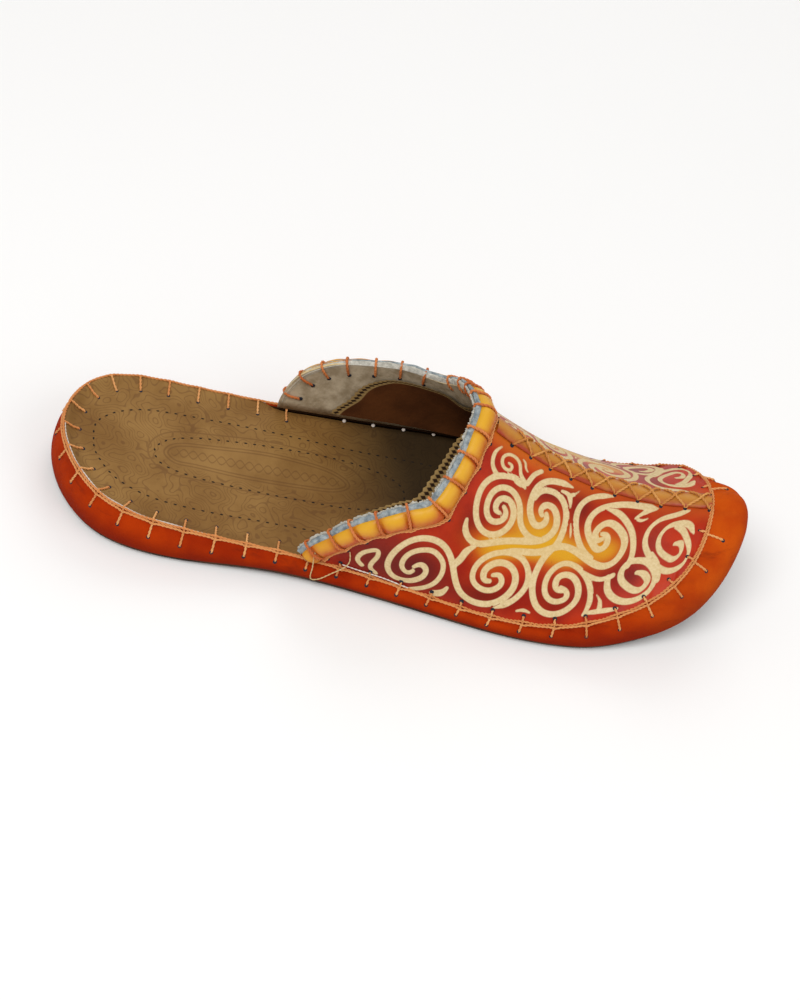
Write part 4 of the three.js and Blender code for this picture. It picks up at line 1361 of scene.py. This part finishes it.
def legs_down():
    """Stitch legs down the band, square to the ridge, shorter where the band is low."""
    along = ridge_ways(STITCHES)
    turn, level = STITCHES, np.full_like(STITCHES, WALK_PROBE)
    places = [(turn, level)]
    for _ in range(LEG_STEPS):
        inner = np.where(level > 0.5, -WALK_PROBE, WALK_PROBE)
        here = band_face(turn, level)
        ahead = (band_face(turn + WALK_PROBE, level) - here) / WALK_PROBE
        down = (band_face(turn, level + inner) - here) / inner[:, None]
        aim = unit(np.cross(unit(np.cross(ahead, down)), along))
        aim = aim * np.where(aim[:, 2] > 0, -WALK_STEP, WALK_STEP)[:, None]
        forth, lower = face_step(ahead, down, aim)
        turn, level = turn + forth, level + lower
        places.append((turn, level))
    places = np.array(places)
    run = run_of(STITCHES)
    room = (ridge_height(run) - hem_height(run)) * LEG_SHARE / WALK_STEP
    legs = []
    for k, n in enumerate(np.clip(room, LEG_LEAST, len(places) - 1).astype(int)):
        turn, level = places[: n + 1, 0, k], np.clip(places[: n + 1, 1, k], 0, 0.95)
        surface = np.diagonal(band_inset(turn, level[None, :]))
        legs.append(band_point(turn, level, surface - LEG_LIFT))
    return legs


def legs_up():
    """Stitch legs up the upper, by the turn of their stitch."""
    run, across = np.meshgrid(np.linspace(0.42, 0.999, 600), np.linspace(0.3, 0.998, 260), indexing="ij")
    on_upper = run_of(STITCHES) > corner_run(STITCHES) + 0.012
    legs = {}
    for side in (-1, 1):
        skin = upper_face(run, side * across)
        lift = over_upper(run, side * across, 1.0) - skin
        for turn in STITCHES[on_upper & (side_of(STITCHES) == side)]:
            from_foot = skin - band_face(turn, 0.0) - RIDGE_GAP * UP
            slip = (from_foot @ ridge_ways(turn)) ** 2
            leg = []
            for reach, out in LEG_UP:
                miss = slip + (np.linalg.norm(from_foot, axis=2) - reach) ** 2
                i, j = np.unravel_index(np.argmin(miss), miss.shape)
                leg.append(skin[i, j] + lift[i, j] * out)
            legs[float(turn)] = np.array(leg)
    return legs


def legs_in(turn):
    """A stitch leg in over the rim of the insole."""
    rim = dressed_rim(np.array([turn]))[0][0]
    inward = unit(np.cross(UP, ridge_ways(turn))) * (1, 1, 0)
    rise = rim[2] - insole_top(rim[0])
    reach = np.array(LEG_IN)
    leg = rim + inward * reach[:, None]
    lift = np.where(reach < LEG_IN[-1], 0.4, -0.4)
    leg[:, 2] = insole_top(leg[:, 0]) + rise * hump(reach, RIM_REACH) + lift
    return leg


LEGS_DOWN = legs_down()
LEGS_UP = legs_up()


def stitch_paths():
    paths = []
    for turn, down in zip(STITCHES, LEGS_DOWN):
        top = band_point(turn, 0.0, 0.3) + TOP_LIFT * UP
        inner = LEGS_UP[turn] if turn in LEGS_UP else legs_in(turn)
        paths.append(rounded(np.vstack([down[::-1], top, inner])))
    return paths


def inner_knots():
    turn = STITCHES[(STITCHES > 1.25) & (STITCHES < 1.56)]
    way = ridge_ways(turn)
    return dressed_rim(turn)[0] - 0.4 * np.cross(way, UP) + 0.5 * UP, (0, -0.4, 1.0), way


def whip_paths():
    legs = []
    for number, share in enumerate(ROLLS):
        rows = SNUG if share > SNUG_FROM else WRAPPED
        sway = 0.006 * np.sin(number * 1.9)
        legs.append(rounded(collar_point(share + sway * rows["turn"], rows["reach"], rows["lift"])))
    return legs


def collar_lines():
    share = np.linspace(-0.995, 0.995, 600)
    scallop = np.abs(np.sin(np.interp(share, ROLLS, np.arange(len(ROLLS))) * np.pi)) * 0.9
    return collar_point(share, 8.1 - scallop, 0.55), collar_point(share, 8.9 - scallop, 0.35)


# Holes, dots and knots: small domes whose rim sinks into the leather; the dark domes of the holes paint
# the shade inside them
def dots_piece(name, places, radius, material, stretch=1.0):
    centres, normals, ways = (np.array(v, float) for v in places)
    normals = np.broadcast_to(unit(normals), centres.shape)
    angle = np.linspace(0, 2 * np.pi, DOT_SIDES + 1)[:-1]
    one = unit(ways - normals * (ways * normals).sum(1, keepdims=True))
    two = np.cross(normals, one)
    points = [(centres + normals * DOT_TOP)[:, None]]
    for share, lift in DOT_RINGS:
        round_it = one[:, None] * np.cos(angle)[:, None] * stretch + two[:, None] * np.sin(angle)[:, None]
        points.append(centres[:, None] + radius * share * round_it + normals[:, None] * lift)
    points = np.concatenate(points, 1)
    sides = [(k, (k + 1) % DOT_SIDES) for k in range(DOT_SIDES)]
    faces = [(0, 1 + k, 1 + n) for k, n in sides]
    for low in range(1, points.shape[1] - DOT_SIDES, DOT_SIDES):
        faces += [(low + k, low + DOT_SIDES + k, low + DOT_SIDES + n, low + n) for k, n in sides]
    starts = range(0, points.shape[0] * points.shape[1], points.shape[1])
    piece(name, points, [[start + k for k in face] for start in starts for face in faces], material)


def stitch_holes():
    places = []
    for turn, leg in zip(STITCHES, LEGS_DOWN):
        way = leg[-1] - leg[-2]
        out = np.cross(way, ridge_ways(turn))
        out = unit(out * np.sign(out @ -band_inward(turn, 0.3)))
        places.append((leg[-1] - out * 0.3, out, way))
        if turn in LEGS_UP:
            inner, out = LEGS_UP[turn], unit(np.array([0, side_of(turn), 0.8]))
        else:
            inner, out = legs_in(turn), UP
        places.append((inner[-1] + out * 0.4, out, inner[-1] - inner[-2]))
    return zip(*places)


def edge_holes(share, reach, lift):
    """Holes of the whip stitches, on the dyed side or, with a lift below 0, on the flesh side."""
    _, _, normal, into = collar_frame(share)
    return collar_point(share, reach, lift), normal * np.sign(lift), into


def strip_holes():
    run, side = (v.ravel() for v in np.meshgrid(LACES, (-1, 1), indexing="ij"))
    out = side * (STRIP_WIDTH / 2 + 0.5)
    low = strip_point(run, out, 0.0)
    return low, strip_point(run, out, 1.0) - low, strip_point(run + 0.01, out, 0.0) - low


build_band()
build_outsole()
build_insole()
for side, name in ((-1, "inner_side"), (1, "outer_side")):
    build_panel(side, "upper_panel_" + name)
for side, name in ((-1, "inner_side"), (1, "outer_side")):
    build_inside(side, "upper_flesh_" + name)
build_strip()
build_binding()
build_lining()
build_raw_edge("collar_raw_edge", RAW, RAW_ROWS, 3, 0.2)
build_raw_edge("collar_frayed_edge", FRAY, FRAY_ROWS, 5, 0.5)
thread_piece("edge_threads", edge_threads(), PEACH, 1.1)
thread_piece("white_threads", white_threads(), WHITE, 0.6)
thread_piece("blanket_stitches", stitch_paths(), PEACH, 1.1)
thread_piece("whip_stitches", whip_paths(), RUST, 1.3)
thread_piece("collar_line_thread", collar_lines(), PEACH, 1.1)
thread_piece("loose_thread", [rounded(LOOSE_END)], LOOSE, 0.6)
thread_piece("lacing", lace_paths(), LACE, 1.15)
dots_piece("insole_stitch_dots", insole_dots(), 0.36, DOT, 1.9)
dots_piece("inner_knots", inner_knots(), 0.7, WHITE)
dots_piece("ridge_stitch_holes", stitch_holes(), 0.75, HOLE_SHADE)
ear = ROLLS[ROLLS > INNER_HOLES_FROM]
ear_holes = edge_holes(ear, np.where(ear > SNUG_FROM, 6.8, 4.0), -2.12)
dots_piece("ear_stitch_holes", ear_holes, 0.8, HOLE_SHADE)
outer_holes = edge_holes(ROLLS[ROLLS < OUTER_HOLES_TO], 9.4, 0.02)
dots_piece("collar_stitch_holes", outer_holes, 0.7, HOLE_SHADE)
dots_piece("lacing_holes", strip_holes(), 0.75, HOLE_SHADE)

# Floor, light and camera
FLOOR_REACH = 6
FLOOR_Z = -0.0003
PHOTO_FOCUS = 1488.4
PHOTO_CENTRE = (400, 500)
SHOE_CENTRE = (422, 374)
PHOTO_HEIGHT = 1000
SENSOR = 36
CLOSER = 1.3
EYE = np.array([110.6, -526.3, 554.7])
EYE_RIGHT = np.array([0.97911, 0.13132, 0.15525])
EYE_DOWN = np.array([0.19977, -0.76376, -0.61381])
EYE_AHEAD = np.array([0.03796, 0.632, -0.77404])


def stand(name, data, right, up, back, spot):
    turned = np.eye(4)
    turned[:3] = np.stack([right, up, back, spot], 1)
    made = bpy.data.objects.new(name, data)
    made.matrix_world = Matrix(turned.tolist())
    bpy.context.scene.collection.objects.link(made)
    return made


def build_camera():
    side = (SHOE_CENTRE[0] - PHOTO_CENTRE[0]) / PHOTO_FOCUS
    down = (SHOE_CENTRE[1] - PHOTO_CENTRE[1]) / PHOTO_FOCUS
    ahead = unit(EYE_AHEAD + EYE_RIGHT * side + EYE_DOWN * down)
    right = unit(EYE_RIGHT - ahead * (EYE_RIGHT @ ahead))
    camera = bpy.data.cameras.new("camera")
    camera.sensor_width = SENSOR
    camera.lens = PHOTO_FOCUS * CLOSER * SENSOR / PHOTO_HEIGHT
    eye = (EYE - ORIGIN) * MM
    bpy.context.scene.camera = stand("camera", camera, right, np.cross(right, ahead), -ahead, eye)


def area_light(name, spot, aim, size, power):
    light = bpy.data.lights.new(name, "AREA")
    light.shape = "DISK"
    light.size = size
    light.energy = power
    back = unit(np.array(spot, float) - aim)
    right = unit(np.cross(UP, back))
    stand(name, light, right, np.cross(back, right), back, spot)


def build_stage():
    mesh = bpy.data.meshes.new("floor")
    corners = [(-1, -1), (1, -1), (1, 1), (-1, 1)]
    mesh.from_pydata([(x * FLOOR_REACH, y * FLOOR_REACH, FLOOR_Z) for x, y in corners], [], [(0, 1, 2, 3)])
    floor = bpy.data.objects.new("floor", mesh)
    f = Finish("floor", 0.9)
    f.colour(f.blend(f.noise(3, 2), (250, 249, 248), (252, 252, 251)))
    mesh.materials.append(f.material)
    bpy.context.scene.collection.objects.link(floor)
    world = bpy.data.worlds.new("studio")
    world.use_nodes = True
    world.node_tree.nodes["Background"].inputs["Color"].default_value = (1.0, 0.99, 0.98, 1)
    world.node_tree.nodes["Background"].inputs["Strength"].default_value = 0.46
    bpy.context.scene.world = world
    area_light("key", (-0.45, -0.75, 1.5), (0, 0, 0), 1.1, 15.5)
    area_light("fill", (1.1, -0.5, 0.9), (0, 0, 0), 1.2, 4)
    area_light("back", (0.2, 1.2, 1.0), (0, 0, 0.02), 1.0, 4)


build_stage()
build_camera()
bpy.context.scene.view_settings.view_transform = "Standard"
